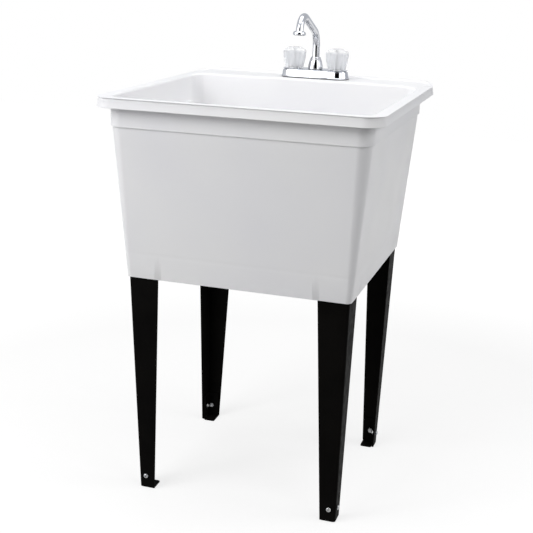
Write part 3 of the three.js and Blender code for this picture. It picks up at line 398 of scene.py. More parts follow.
def finish_edges(target, width, segments=2, angle=40):
    """Breaks the sharp edges with a small rounding and shades the rest smooth."""
    if width:
        edge = target.modifiers.new("edge", "BEVEL")
        edge.width = width / 1000
        edge.segments = segments
        edge.limit_method = "ANGLE"
        edge.angle_limit = math.radians(angle)
        edge.use_clamp_overlap = True
        bake(target)
    for face in target.data.polygons:
        face.use_smooth = True
    target.data.set_sharp_from_angle(angle=math.radians(angle))
    even = target.modifiers.new("even", "WEIGHTED_NORMAL")
    even.keep_sharp = True
    bake(target)
    return target


def outer_wall(z):
    """The tapered outer face, from the bottom of the skirt up to the ridge."""
    share = (z - SKIRT_HEIGHT) / (ridge - SKIRT_HEIGHT)
    top = inset(collar(), RIDGE_STEP)
    foot = outline(SKIRT_WIDTH / 2, middle_y - SKIRT_DEPTH / 2, middle_y + SKIRT_DEPTH / 2, SKIRT_CORNER)
    return {side: foot[side] + (top[side] - foot[side]) * share for side in foot}


def rim():
    """The rim's outer edge."""
    return outline(RIM_WIDTH / 2, -RIM_DEPTH / 2, RIM_DEPTH / 2, RIM_CORNER)


def collar():
    """The upright band under the rim."""
    return outline(RIM_WIDTH / 2 - SIDE_LEDGE, SIDE_LEDGE - RIM_DEPTH / 2, RIM_DEPTH / 2 - BACK_LEDGE,
                   COLLAR_CORNER)


def basin_back(z):
    """Where the basin's leaning back wall stands in Y at a height."""
    return RIM_DEPTH / 2 - DECK_DEPTH - BACK_WALL_LEAN * (RIM_HEIGHT - z) / BASIN_DEPTH


def basin_wall(z):
    """The basin's inner face at a height."""
    wall = inset(collar() if z > ridge else outer_wall(z), WALL)
    wall["back"] = basin_back(z)
    return wall


def rounded_turn(radius, steps=4):
    """Shares of a quarter turn: how far in and how far down from a rounded edge."""
    for i in range(steps + 1):
        angle = i / steps * math.pi / 2
        yield radius * (1 - math.sin(angle)), radius * (1 - math.cos(angle))


def sink_line(z):
    """Rings of the shallow dip that the cooling floor pulls into the outer face."""
    dips = [(step / 6, (1 + math.cos(step / 6 * math.pi)) / 2) for step in range(-6, 7)]
    return [ring(inset(outer_wall(z + share * SINK_HALF), SINK_DEPTH * dip), z + share * SINK_HALF)
            for share, dip in dips]


def tub_skin():
    """One closed skin: from the drain's hole under the floor, up outside, over the rim and down inside."""
    high = DECK_RISE + BEAD_RISE
    mouth = basin_wall(RIM_HEIGHT)
    floor_wall = basin_wall(basin_floor + FLOOR_FILLET)
    skirt = outer_wall(SKIRT_HEIGHT)
    rings = [
        ring(circle(DRAIN_HOLE, DRAIN_Y), drain_seat - FLOOR_THICKNESS),
        ring(circle(DRAIN_SEAT, DRAIN_Y), drain_seat - FLOOR_THICKNESS),
        ring(inset(outer_wall(floor_underside), WALL + LEG_SHELF), floor_underside),
        ring(inset(outer_wall(floor_underside), WALL), floor_underside),
        ring(inset(skirt, WALL), SKIRT_HEIGHT),
        ring(inset(skirt, SKIRT_EDGE), SKIRT_HEIGHT),
        ring(inset(skirt, SKIRT_EDGE * 0.3), SKIRT_HEIGHT + SKIRT_EDGE * 0.3),
        ring(outer_wall(SKIRT_HEIGHT + SKIRT_EDGE), SKIRT_HEIGHT + SKIRT_EDGE),
        *sink_line(floor_underside + FLOOR_THICKNESS / 2),
        ring(outer_wall(ridge - 1), ridge - 1),
        ring(outer_wall(ridge), ridge),
        ring(inset(collar(), 0.4 - COLLAR_BEAD), ridge + RIDGE_SLOPE - 0.6),
        ring(inset(collar(), -COLLAR_BEAD), ridge + RIDGE_SLOPE + 0.4),
        ring(inset(collar(), -COLLAR_BEAD), ridge + RIDGE_SLOPE + 2.2),
        ring(collar(), ridge + RIDGE_SLOPE + 3.4),
        ring(collar(), rim_underside - 3, DECK_RISE),
        ring(inset(collar(), -0.9), rim_underside - 0.9, DECK_RISE),
        ring(inset(collar(), -3), rim_underside, DECK_RISE),
        ring(inset(rim(), LIP_WALL + 1), rim_underside, DECK_RISE),
        ring(inset(rim(), LIP_WALL), rim_underside - 1, DECK_RISE),
        ring(inset(rim(), LIP_WALL), RIM_HEIGHT - LIP_DROP + 0.6),
        ring(inset(rim(), LIP_WALL - 0.6), RIM_HEIGHT - LIP_DROP),
        ring(inset(rim(), 0.8), RIM_HEIGHT - LIP_DROP),
        ring(inset(rim(), 0.23), RIM_HEIGHT - LIP_DROP + 0.23),
        ring(rim(), RIM_HEIGHT - LIP_DROP + 0.8),
    ]
    rings += [ring(inset(rim(), RIM_EDGE - across), RIM_HEIGHT - down, high)
              for across, down in list(rounded_turn(RIM_EDGE, 6))[::-1]]
    rings += [
        ring(inset(rim(), BEAD_WIDTH - BEAD_RISE - 1), RIM_HEIGHT, high),
        ring(inset(rim(), BEAD_WIDTH - BEAD_RISE), RIM_HEIGHT, high - 0.3),
        ring(inset(rim(), BEAD_WIDTH - 0.8), RIM_HEIGHT, DECK_RISE + 0.4),
        ring(inset(rim(), BEAD_WIDTH + 0.6), RIM_HEIGHT, DECK_RISE),
    ]
    rings += [ring(inset(mouth, -across), RIM_HEIGHT - down, DECK_RISE)
              for across, down in list(rounded_turn(MOUTH_EDGE, 6))]
    rings += [
        ring(basin_wall(ridge + 1), ridge + 1),
        ring(basin_wall(ridge), ridge),
        ring(basin_wall(ridge - 1), ridge - 1),
    ]
    rings += [ring(inset(floor_wall, down), basin_floor + across)
              for across, down in list(rounded_turn(FLOOR_FILLET, 8))]
    rings += [
        ring(circle(DRAIN_SEAT + 3, DRAIN_Y), basin_floor - FLOOR_FALL),
        ring(circle(DRAIN_SEAT, DRAIN_Y), basin_floor - FLOOR_FALL - 0.8),
        ring(circle(DRAIN_SEAT, DRAIN_Y), drain_seat),
        ring(circle(DRAIN_HOLE, DRAIN_Y), drain_seat),
    ]
    return loft(rings, closed=True)


def back_hollow(low, high, half):
    """The space behind the basin, down to the height low and as wide as twice half."""
    rings = []
    for z in [low] + [at for at in (ridge, ridge + RIDGE_SLOPE) if low < at < high] + [high]:
        space = inset(collar() if z > ridge else outer_wall(z), WALL)
        space["front"] = basin_back(z) + WALL
        space["half"] = min(space["half"], half)
        rings.append(ring(space, z))
    return solid("hollow", *loft(rings))


def hatch():
    """The opening in the outer back wall, with round lower corners, run out past the wall."""
    half = HATCH_WIDTH / 2
    near = basin_back(RIM_HEIGHT) + WALL + 2.5
    far = RIM_DEPTH / 2 - LIP_WALL * 2
    points = [(half, deck_underside), (-half, deck_underside)]
    for side in (-1, 1):
        centre = (side * (half - HATCH_CORNER), HATCH_SILL + HATCH_CORNER)
        turn = [i / 8 * math.pi / 2 for i in range(9)]
        for angle in (turn if side < 0 else turn[::-1]):
            points.append((centre[0] + side * HATCH_CORNER * math.cos(angle),
                           centre[1] - HATCH_CORNER * math.sin(angle)))
    return solid("hatch", *loft([[Vector((x, y, z)) for x, z in points] for y in (far, near)]))


LEG_STEEL = 2
LEG_BEND = 5
LEG_SIDE_GAP = 0.5
LEG_SET_IN = 2.5
LEG_SIDE_LEAN = 11.4
LEG_FRONT_LEAN = 25
LEG_TOP_FLANGE = 65
LEG_FOOT_FLANGE = 34
SOCKET_RIB = 2.5
SOCKET_GAP = 0.5
QUARTERS = [("front_left", -1, -1), ("front_right", 1, -1), ("back_left", -1, 1), ("back_right", 1, 1)]

leg_top = Vector((SKIRT_WIDTH / 2 - WALL - LEG_SIDE_GAP, SKIRT_DEPTH / 2 - WALL - LEG_SET_IN))
leg_foot = leg_top - Vector((LEG_SIDE_LEAN, LEG_FRONT_LEAN))
leg_lean = Vector((LEG_SIDE_LEAN, LEG_FRONT_LEAN)) / SKIRT_HEIGHT


def leg_flange(z):
    """How wide a leg's flange is at a height."""
    return LEG_FOOT_FLANGE + (LEG_TOP_FLANGE - LEG_FOOT_FLANGE) * z / SKIRT_HEIGHT


def mirrored(points, side_x, side_y):
    """Points of the back right corner carried to another corner, ordered to keep the faces outwards."""
    turned = [Vector((p.x * side_x, p.y * side_y + middle_y, p.z)) for p in points]
    return turned if side_x * side_y > 0 else turned[::-1]


def socket(side_x, side_y):
    """Ribs that stand round a leg's two flanges and close against the skirt's own wall."""
    rings = []
    for z in (SKIRT_HEIGHT + 1, floor_underside + 1):
        wall_x = outer_wall(z)["half"] - WALL / 2
        wall_y = outer_wall(z)["back"] - middle_y - WALL / 2
        x, y = leg_foot + leg_lean * z
        inner = LEG_STEEL + SOCKET_GAP
        outer = inner + SOCKET_RIB
        end = leg_flange(z) + SOCKET_GAP
        cap = end + SOCKET_RIB
        bevel = LEG_BEND - LEG_STEEL
        points = [
            (x - cap, wall_y), (x - cap, y - outer),
            (x - outer - bevel, y - outer), (x - outer, y - outer - bevel),
            (x - outer, y - cap), (wall_x, y - cap),
            (wall_x, y - end), (x - inner, y - end),
            (x - inner, y - inner - bevel), (x - inner - bevel, y - inner),
            (x - end, y - inner), (x - end, wall_y),
        ]
        rings.append(mirrored([Vector((px, py, z)) for px, py in points], side_x, side_y))
    return solid("socket", *loft(rings))


def socket_dip(side_x, side_y, along_x):
    """Cutter for the shallow upright dip that the end of a socket's rib pulls into the outer face."""
    rings = []
    for z in (SKIRT_HEIGHT - 1, floor_underside):
        wall = outer_wall(z)
        end = leg_flange(z) + SOCKET_GAP + SOCKET_RIB / 2
        x, y = leg_foot + leg_lean * z
        bow = [(i / 10 * 2 - 1, 1 - math.cos(i / 10 * 2 * math.pi)) for i in range(11)]
        if along_x:
            face = wall["back"] - middle_y
            points = [(x - end + across * SINK_HALF, face - SINK_DEPTH * dip / 2) for across, dip in bow]
            points += [(x - end + SINK_HALF, face + 2), (x - end - SINK_HALF, face + 2)]
        else:
            face = wall["half"]
            points = [(face - SINK_DEPTH * dip / 2, y - end + across * SINK_HALF) for across, dip in bow]
            points += [(face + 2, y - end + SINK_HALF), (face + 2, y - end - SINK_HALF)]
            points.reverse()
        rings.append(mirrored([Vector((px, py, z)) for px, py in points], side_x, side_y))
    return solid("dip", *loft(rings))


def turned(name, profile, steps=ROUND_STEPS, place=None):
    """A round piece: (radius, height) points carried round Z, closed on the axis or on themselves."""
    points = [Vector((radius * math.cos(angle), radius * math.sin(angle), height))
              for radius, height in profile
              for angle in (i / steps * 2 * math.pi for i in range(steps))]
    faces = []
    for row in range(len(profile)):
        low, high = row * steps, (row + 1) % len(profile) * steps
        if profile[row][0] == 0 and profile[(row + 1) % len(profile)][0] == 0:
            continue
        for i in range(steps):
            after = (i + 1) % steps
            faces.append((low + i, low + after, high + after, high + i))
    return solid(name, points, faces, place)


TAP_X = 16
TAP_SETBACK = 60
VALVE_SPACING = 101.6
tap_y = RIM_DEPTH / 2 - TAP_SETBACK

tub = solid("tub_shell", *tub_skin())
cutters = [
    back_hollow(basin_floor, deck_underside, RIM_WIDTH),
    back_hollow(drain_seat - FLOOR_THICKNESS, basin_floor + 1, leg_top.x - LEG_TOP_FLANGE - LEG_SHELF),
    hatch(),
]
for side in (-1, 1):
    at = Matrix.Translation((TAP_X + side * VALVE_SPACING / 2, tap_y, 0))
    cutters.append(turned("hole", [(0, deck_underside - 2), (DECK_HOLE, deck_underside - 2),
                                   (DECK_HOLE, deck_top + 2), (0, deck_top + 2)], 48, at))
cutters += [socket_dip(x, y, along_x) for _, x, y in QUARTERS for along_x in (True, False)]
combined(tub, cutters, "DIFFERENCE")
combined(tub, [socket(x, y) for _, x, y in QUARTERS], "UNION")
finish_edges(tub, 0, angle=32)


def paint(red, green, blue):
    """A colour given as it looks on screen, 0 to 255, in the linear numbers that a shader takes."""
    return tuple((c / 255 / 12.92) if c <= 10 else ((c / 255 + 0.055) / 1.055) ** 2.4
                 for c in (red, green, blue))


def surface(name, colour, roughness, metallic=0.0):
    """A plain finish, which speckle, tinted, rough and bumped then work on."""
    made = bpy.data.materials.new(name)
    made.use_nodes = True
    shader = made.node_tree.nodes["Principled BSDF"]
    shader.inputs["Base Color"].default_value = (*colour, 1)
    shader.inputs["Roughness"].default_value = roughness
    shader.inputs["Metallic"].default_value = metallic
    return made


def speckle(made, size, detail=3.0):
    """Noise over the piece's own coordinates, with grains of the given size in millimetres."""
    nodes, links = made.node_tree.nodes, made.node_tree.links
    spot = nodes.new("ShaderNodeTexCoord")
    noise = nodes.new("ShaderNodeTexNoise")
    noise.inputs["Scale"].default_value = 1000 / size
    noise.inputs["Detail"].default_value = detail
    links.new(spot.outputs["Object"], noise.inputs["Vector"])
    return noise.outputs["Fac"]


def spread(made, source, low, high, start=0.35, end=0.65):
    """Turns a 0 to 1 socket into numbers between low and high."""
    nodes, links = made.node_tree.nodes, made.node_tree.links
    scale = nodes.new("ShaderNodeMapRange")
    for socket_name, value in (("From Min", start), ("From Max", end), ("To Min", low), ("To Max", high)):
        scale.inputs[socket_name].default_value = value
    links.new(source, scale.inputs["Value"])
    return scale.outputs["Result"]


def tinted(made, source, first, second, start=0.35, end=0.65):
    """Base colour that runs from the first colour to the second with a socket."""
    nodes, links = made.node_tree.nodes, made.node_tree.links
    blend = nodes.new("ShaderNodeValToRGB")
    blend.color_ramp.elements[0].position = start
    blend.color_ramp.elements[0].color = (*first, 1)
    blend.color_ramp.elements[1].position = end
    blend.color_ramp.elements[1].color = (*second, 1)
    links.new(source, blend.inputs["Fac"])
    links.new(blend.outputs["Color"], nodes["Principled BSDF"].inputs["Base Color"])
    return blend


def rough(made, source, low, high):
    """Roughness that runs between low and high with a socket."""
    made.node_tree.links.new(spread(made, source, low, high),
                             made.node_tree.nodes["Principled BSDF"].inputs["Roughness"])


def bumped(made, source, depth, strength=1.0):
    """Lets a socket lift the surface by depth millimetres."""
    nodes, links = made.node_tree.nodes, made.node_tree.links
    bump = nodes.new("ShaderNodeBump")
    bump.inputs["Strength"].default_value = strength
    bump.inputs["Distance"].default_value = depth / 1000
    links.new(source, bump.inputs["Height"])
    target = nodes["Principled BSDF"].inputs["Normal"]
    if target.is_linked:
        links.new(target.links[0].from_socket, bump.inputs["Normal"])
    links.new(bump.outputs["Normal"], target)


def placed(made, material, body, node):
    """Gives a piece its material and its body, and hides the CAD node that it stands for."""
    made.data.materials.append(material)
    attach(made, body)
    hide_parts(node)


tub_white = surface("tub_white", paint(246, 246, 248), 0.4)
tub_white.node_tree.nodes["Principled BSDF"].inputs["Specular IOR Level"].default_value = TUB_GLOSS
tinted(tub_white, speckle(tub_white, 260, 2), paint(244, 244, 247), paint(248, 248, 249))
rough(tub_white, speckle(tub_white, 45, 4), 0.34, 0.44)
bumped(tub_white, speckle(tub_white, 1.6, 2), 0.02, 0.25)
bumped(tub_white, speckle(tub_white, 120, 1), 0.5, 0.3)
placed(tub, tub_white, "sink", "tub")


# ---- Legs ------------------------------------------------------------------------------------------------
# Four tapered angles folded from 2 mm sheet steel, corner outwards, with two holes near the foot. They are
# dipped in black baked enamel, which lies thicker round the edges and has a faint orange-peel skin. Each
# top is pressed into a socket of the tub.

LEG_END = 1.5
LEG_TOP_GAP = 0.3
LEG_BREAK = 0.35
LEG_GLOSS = 0.02
SCREW_HEIGHT = 30
SCREW_INSET = 15.5
SCREW_RADIUS = 2.9
SCREW_HOLE = 3.4

leg_black = surface("leg_black", (0.003, 0.0028, 0.0026), 0.42)
leg_black.node_tree.nodes["Principled BSDF"].inputs["Specular IOR Level"].default_value = LEG_GLOSS
tinted(leg_black, speckle(leg_black, 90), (0.0022, 0.002, 0.0019), (0.0042, 0.0038, 0.0034))
rough(leg_black, speckle(leg_black, 14), 0.48, 0.62)
bumped(leg_black, speckle(leg_black, 1.8, 1), 0.05, 0.5)

leaning = Matrix.Identity(4)
leaning[0][2] = leg_lean.x
leaning[1][2] = leg_lean.y
CORNERS = {name: Matrix.Translation((0, middle_y, 0)) @ Matrix.Diagonal((x, y, 1, 1))
           for name, x, y in QUARTERS}
SCREWS = {
    "face": (Vector((leg_foot.x - SCREW_INSET, leg_foot.y, SCREW_HEIGHT)), Vector((0, 1, -leg_lean.y))),
    "side": (Vector((leg_foot.x, leg_foot.y - SCREW_INSET, SCREW_HEIGHT)), Vector((1, 0, -leg_lean.x))),
}


def angle_ring(x, y, flange, steel, bend, z, steps=8):
    """The section of a folded angle with its rounded corner at x, y and its two flanges running inwards."""
    def arc(radius, start, stop):
        for i in range(steps + 1):
            angle = (start + (stop - start) * i / steps) * math.pi / 2
            yield x - bend + radius * math.cos(angle), y - bend + radius * math.sin(angle)

    points = [(x, y - flange), *arc(bend, 0, 1), (x - flange, y), (x - flange, y - steel)]
    points += [*arc(bend - steel, 1, 0), (x - steel, y - flange)]
    return [Vector((px, py, z)) for px, py in points]


def facing(spot, normal):
    """A frame at a screw whose Z runs out along the screw and whose Y runs up the leg."""
    out = normal.normalized()
    along = Vector((leg_lean.x, leg_lean.y, 1)).normalized()
    across = along.cross(out).normalized()
    turn = Matrix((across, out.cross(across), out)).transposed().to_4x4()
    return Matrix.Translation((spot.x + leg_lean.x * spot.z, spot.y + leg_lean.y * spot.z, spot.z)) @ turn


def slot_cutter(corner, spot, travel):
    """A round-ended cutter through a flange, drawn out up the leg by travel."""
    half = [i / 12 * math.pi for i in range(13)]
    outline_points = [(SCREW_HOLE * math.cos(a), travel + SCREW_HOLE * math.sin(a)) for a in half]
    outline_points += [(-SCREW_HOLE * math.cos(a), -SCREW_HOLE * math.sin(a)) for a in half]
    rings = [[Vector((x, y, z)) for x, y in outline_points] for z in (-9, 6)]
    return solid("slot", *loft(rings), corner @ facing(*SCREWS[spot]))


for name, corner in CORNERS.items():
    rings = [angle_ring(*leg_foot, leg_flange(z), LEG_STEEL, LEG_BEND, z)
             for z in (LEG_END, floor_underside - LEG_TOP_GAP)]
    leg = solid(f"angle_leg_{name}", *loft(rings), corner @ leaning)
    combined(leg, [slot_cutter(corner, spot, 0) for spot in SCREWS], "DIFFERENCE")
    finish_edges(leg, LEG_BREAK)
    placed(leg, leg_black, "sink", f"leg_{name}")


# ---- Levelling feet --------------------------------------------------------------------------------------
# An L of 2.5 mm steel that slides inside each leg on two long slots. Its foot is folded in as a pad to
# stand on, and it is enamelled black as the legs are.

FOOT_STEEL = 2.5
FOOT_FLANGE = 30
FOOT_HEIGHT = 62
FOOT_TRAVEL = 20
FOOT_GAP = 0.3
PAD_LENGTH = 34
PAD_NOTCH = 1
PAD_CORNER = 4

foot_x = leg_foot.x - LEG_STEEL - FOOT_GAP
foot_y = leg_foot.y - LEG_STEEL - FOOT_GAP
pad_left = foot_x - FOOT_FLANGE
pad_right = foot_x - PAD_NOTCH - FOOT_STEEL
pad_back = foot_y - FOOT_STEEL / 2
pad_front = foot_y - PAD_LENGTH
for name, corner in CORNERS.items():
    rings = [angle_ring(foot_x, foot_y, FOOT_FLANGE, FOOT_STEEL, LEG_BEND, z) for z in (0, FOOT_HEIGHT)]
    foot = solid(f"levelling_foot_{name}", *loft(rings), corner @ leaning)
    pad_shape = outline((pad_right - pad_left) / 2, pad_front, pad_back, PAD_CORNER)
    across = Matrix.Translation(((pad_left + pad_right) / 2, 0, 0))
    pad = solid("pad", *loft([ring(pad_shape, z) for z in (0, FOOT_STEEL)]), corner @ leaning @ across)
    combined(foot, [pad], "UNION")
    combined(foot, [slot_cutter(corner, spot, FOOT_TRAVEL) for spot in SCREWS], "DIFFERENCE")
    finish_edges(foot, LEG_BREAK)
    placed(foot, leg_black, f"{name}_foot", f"foot_{name}")


# ---- Foot screws and nuts --------------------------------------------------------------------------------
# M6 machine screws with a low round head and a cross recess, and a chamfered hexagon nut on each, all
# bright zinc plated. Two of them clamp each foot in its leg.

SCREW_HEAD_RADIUS = 5.5
SCREW_HEAD_HEIGHT = 3.4
SCREW_PITCH = 1.0
SCREW_THREAD_DEPTH = 0.5
SCREW_END = 2
RECESS_LENGTH = 5.2
RECESS_WIDTH = 1.1
RECESS_DEPTH = 2.0
NUT_FLATS = 10
NUT_HEIGHT = 4.5
NUT_BORE = 3.2

zinc = surface("zinc", paint(160, 162, 164), 0.3, 1)
tinted(zinc, speckle(zinc, 4), paint(150, 153, 159), paint(170, 169, 165))
rough(zinc, speckle(zinc, 2.5), 0.22, 0.4)
bumped(zinc, speckle(zinc, 0.5, 2), 0.02, 0.3)


def threaded(name, radius, depth, pitch, low, high, place=None, bore=0.0, steps=32):
    """A rod, or a tube if it has a bore, with a real helical thread cut into its outside."""
    rows = max(2, round((high - low) / pitch * 6))
    turns = [i / steps for i in range(steps)]
    rings = []
    for row in range(rows + 1):
        z = low + (high - low) * row / rows
        lead = min(z - low, high - z, pitch) / pitch
        points = []
        for share in turns:
            phase = ((z - low) / pitch - share) % 1
            reach = radius - depth * max(abs(2 * phase - 1), 1 - lead)
            angle = share * 2 * math.pi
            points.append(Vector((reach * math.cos(angle), reach * math.sin(angle), z)))
        rings.append(points)
    if not bore:
        return solid(name, *loft(rings), place)
    for z in (high, low):
        rings.append([Vector((bore * math.cos(share * 2 * math.pi), bore * math.sin(share * 2 * math.pi), z))
                      for share in turns])
    return solid(name, *loft(rings, closed=True), place)


def hex_nut(name, flats, bore, low, high, place=None):
    """A hexagon nut with both faces chamfered and a countersunk bore."""
    reach = flats / math.sqrt(3)
    bevel = (high - low) * 0.18
    corners = [(reach * math.cos(i * math.pi / 3), reach * math.sin(i * math.pi / 3)) for i in range(6)]
    nut = solid(name, *loft([[Vector((x, y, z)) for x, y in corners] for z in (low, high)]), place)
    chamfer = [(0, low), (flats / 2 * 0.97, low), (reach * 1.02, low + bevel), (reach * 1.02, high - bevel),
               (flats / 2 * 0.97, high), (0, high)]
    combined(nut, [turned("chamfer", chamfer, 48, place)], "INTERSECT")
    sink = min(bevel, 0.6)
    hole = [(0, low - 1), (bore + sink + 1, low - 1), (bore, low + sink), (bore, high - sink),
            (bore + sink + 1, high + 1), (0, high + 1)]
    return combined(nut, [turned("hole", hole, 40, place)], "DIFFERENCE")


def cross_recess(target, top, place):
    """Sinks a tapered cross into a screw's head, whose top is at the given height."""
    for wide, deep in ((RECESS_LENGTH, RECESS_WIDTH), (RECESS_WIDTH, RECESS_LENGTH)):
        shares = ((top + 1, 1.0), (top - RECESS_DEPTH, 0.55))
        rings = [[Vector((x * wide / 2 * share, y * deep / 2 * share, z))
                  for x, y in ((-1, -1), (1, -1), (1, 1), (-1, 1))] for z, share in shares[::-1]]
        combined(target, [solid("blade", *loft(rings), place)], "DIFFERENCE")


screw_grip = LEG_STEEL + FOOT_GAP + FOOT_STEEL + FOOT_GAP
for name, corner in CORNERS.items():
    for spot, (at, normal) in SCREWS.items():
        place = corner @ facing(at, normal)
        shank_end = -screw_grip - NUT_HEIGHT - SCREW_END
        screw = threaded(f"foot_bolt_{name}_{spot}", SCREW_RADIUS, SCREW_THREAD_DEPTH, SCREW_PITCH,
                         shank_end, 0.6, place, steps=24)
        low = FOOT_GAP
        head_profile = [(0, low), (SCREW_HEAD_RADIUS - 0.3, low), (SCREW_HEAD_RADIUS, low + 0.3)]
        for i in range(7):
            angle = i / 6 * math.pi / 2
            head_profile.append((SCREW_HEAD_RADIUS * math.cos(angle) ** 0.7 if i < 6 else 0,
                                 low + 0.9 + (SCREW_HEAD_HEIGHT - 0.9) * math.sin(angle)))
        combined(screw, [turned("head", head_profile, 40, place)], "UNION")
        cross_recess(screw, low + SCREW_HEAD_HEIGHT, place)
        finish_edges(screw, 0)
        placed(screw, zinc, "sink", f"foot_screw_{name}_{spot}")
        nut = hex_nut(f"foot_hexagon_{name}_{spot}", NUT_FLATS, NUT_BORE,
                      -screw_grip - NUT_HEIGHT, -screw_grip, place)
        finish_edges(nut, 0, angle=25)
        placed(nut, zinc, "sink", f"foot_nut_{name}_{spot}")


# ---- Tap: gasket and cover -------------------------------------------------------------------------------
# The cover is one drawn shell, chrome plated, with a thin flange round its foot and a hole for each valve
# and for the spout's post. It lies on a black rubber gasket that seals it to the deck.

COVER_WIDTH = 161
COVER_DEPTH = 57
COVER_HEIGHT = 20
COVER_CORNER = 28
COVER_TAPER = 4
COVER_WALL = 2.5
COVER_EDGE = 3
COVER_FLANGE = 1.5
COVER_STEP = 1.2
GASKET_HEIGHT = 1.5
NECK_RADIUS = 11.5
POST_RADIUS = 12.6
SHANK_RADIUS = 10.2
SEAT_GAP = 0.3

tap = Matrix.Translation((TAP_X, tap_y, deck_top))
valve_places = {"hot": tap @ Matrix.Translation((-VALVE_SPACING / 2, 0, 0)),
                "cold": tap @ Matrix.Translation((VALVE_SPACING / 2, 0, 0))}
cover_base = SEAT_GAP + GASKET_HEIGHT

chrome = surface("chrome", paint(200, 202, 205), 0.05, 1)
tinted(chrome, speckle(chrome, 25), paint(197, 199, 203), paint(203, 204, 207))
rough(chrome, speckle(chrome, 9), 0.025, 0.05)
rubber = surface("rubber", paint(30, 30, 31), 0.75)
tinted(rubber, speckle(rubber, 6), paint(25, 25, 26), paint(38, 38, 39))
bumped(rubber, speckle(rubber, 0.8, 3), 0.05, 0.5)


def cover_outline(shrink):
    """The cover's foot, drawn in by a distance."""
    return inset(outline(COVER_WIDTH / 2, -COVER_DEPTH / 2, COVER_DEPTH / 2, COVER_CORNER), shrink)


def tap_holes(radius, low, high):
    """Cutters for a round hole at each valve."""
    hole = [(0, low), (radius, low), (radius, high), (0, high)]
    return [turned("hole", hole, 64, place) for place in valve_places.values()]


seal = solid("seal_plate", *loft([ring(cover_outline(COVER_FLANGE / 2), z)
                                  for z in (SEAT_GAP / 2, SEAT_GAP / 2 + GASKET_HEIGHT)]), tap)
combined(seal, tap_holes(SHANK_RADIUS + SEAT_GAP, -1, GASKET_HEIGHT * 2), "DIFFERENCE")
finish_edges(seal, 0.3)
placed(seal, rubber, "sink", "tap_gasket")

rings = [
    ring(cover_outline(COVER_TAPER + COVER_FLANGE), COVER_HEIGHT - COVER_WALL),
    ring(cover_outline(COVER_WALL), cover_base),
    ring(cover_outline(0.3), cover_base),
    ring(cover_outline(0), cover_base + 0.3),
    ring(cover_outline(0), cover_base + COVER_FLANGE - 0.4),
    ring(cover_outline(0.4), cover_base + COVER_FLANGE),
    ring(cover_outline(COVER_STEP), cover_base + COVER_FLANGE + COVER_STEP / 2),
    ring(cover_outline(COVER_STEP + 0.4), cover_base + COVER_FLANGE + COVER_STEP * 1.5),
]
wall_low = cover_base + COVER_FLANGE + COVER_STEP * 1.5
wall_high = COVER_HEIGHT - COVER_EDGE
for share in (0.04, 0.3, 0.65, 0.95):
    rings.append(ring(cover_outline(COVER_STEP + 0.4 + (COVER_TAPER - COVER_STEP - 0.4) * share),
                      wall_low + (wall_high - wall_low) * share))
rings += [ring(cover_outline(COVER_TAPER + COVER_EDGE - inward), COVER_HEIGHT - fall)
          for inward, fall in list(rounded_turn(COVER_EDGE, 8))[::-1]]
cover = solid("cover_shell", *loft(rings), tap)
post_hole = turned("hole", [(0, cover_base), (POST_RADIUS + SEAT_GAP, cover_base),
                            (POST_RADIUS + SEAT_GAP, COVER_HEIGHT + 1), (0, COVER_HEIGHT + 1)], 64, tap)
combined(cover, [*tap_holes(NECK_RADIUS + SEAT_GAP, cover_base, COVER_HEIGHT + 1), post_hole], "DIFFERENCE")
finish_edges(cover, 0)
placed(cover, chrome, "sink", "tap_cover")


# ---- Tap: waterway, shanks and mounting nuts -------------------------------------------------------------
# A brass casting under the cover: two valve wells joined by a cross tube, a post for the spout, and two
# threaded shanks that go down through the deck. What stands above the cover is nickel plated, because the
# knobs are clear. A plastic nut with six finger lugs holds each shank from below.

WELL_RADIUS = 13
WELL_FLOOR = 2
NECK_HEIGHT = 23
CARTRIDGE_RADIUS = 9.5
CROSS_TUBE_RADIUS = 6
SHANK_BORE = 6.5
SHANK_LENGTH = 52
SHANK_PITCH = 1.8
SHANK_THREAD_DEPTH = 0.9
POST_HEIGHT = 28
SPOUT_RADIUS = 8.25
RING_THICKNESS = 1.5
MOUNT_NUT_RADIUS = 21
MOUNT_NUT_HEIGHT = 12
MOUNT_NUT_FLANGE = 2.5
MOUNT_NUT_SLEEVE = 4
MOUNT_NUT_LUGS = 6
MOUNT_NUT_LUG_WIDTH = 3

brass = surface("brass", paint(176, 142, 84), 0.35, 1)
bare = tinted(brass, speckle(brass, 12), paint(160, 126, 72), paint(190, 156, 96))
nodes, links = brass.node_tree.nodes, brass.node_tree.links
plated = nodes.new("ShaderNodeMix")
plated.data_type = "RGBA"
plated.inputs["B"].default_value = (*paint(196, 198, 202), 1)
where = nodes.new("ShaderNodeTexCoord")
level_of = nodes.new("ShaderNodeSeparateXYZ")
links.new(where.outputs["Object"], level_of.inputs[0])
plating_low = (deck_top + COVER_HEIGHT - COVER_WALL) / 1000
links.new(spread(brass, level_of.outputs["Z"], 0, 1, plating_low, plating_low + 0.001),
          plated.inputs["Factor"])
links.new(bare.outputs["Color"], plated.inputs["A"])
links.new(plated.outputs["Result"], nodes["Principled BSDF"].inputs["Base Color"])
rough(brass, speckle(brass, 3), 0.28, 0.5)
bumped(brass, speckle(brass, 0.7, 2), 0.04, 0.4)
fitting_grey = surface("fitting_grey", paint(200, 202, 204), 0.45)
tinted(fitting_grey, speckle(fitting_grey, 40), paint(195, 197, 199), paint(205, 207, 208))
rough(fitting_grey, speckle(fitting_grey, 8), 0.38, 0.55)
bumped(fitting_grey, speckle(fitting_grey, 1.2, 2), 0.03, 0.4)

well_top = COVER_HEIGHT - COVER_WALL - SEAT_GAP
well_floor = cover_base + WELL_FLOOR
tube_height = (cover_base + well_top) / 2
ring_bore = SPOUT_RADIUS + RING_THICKNESS + SEAT_GAP * 2


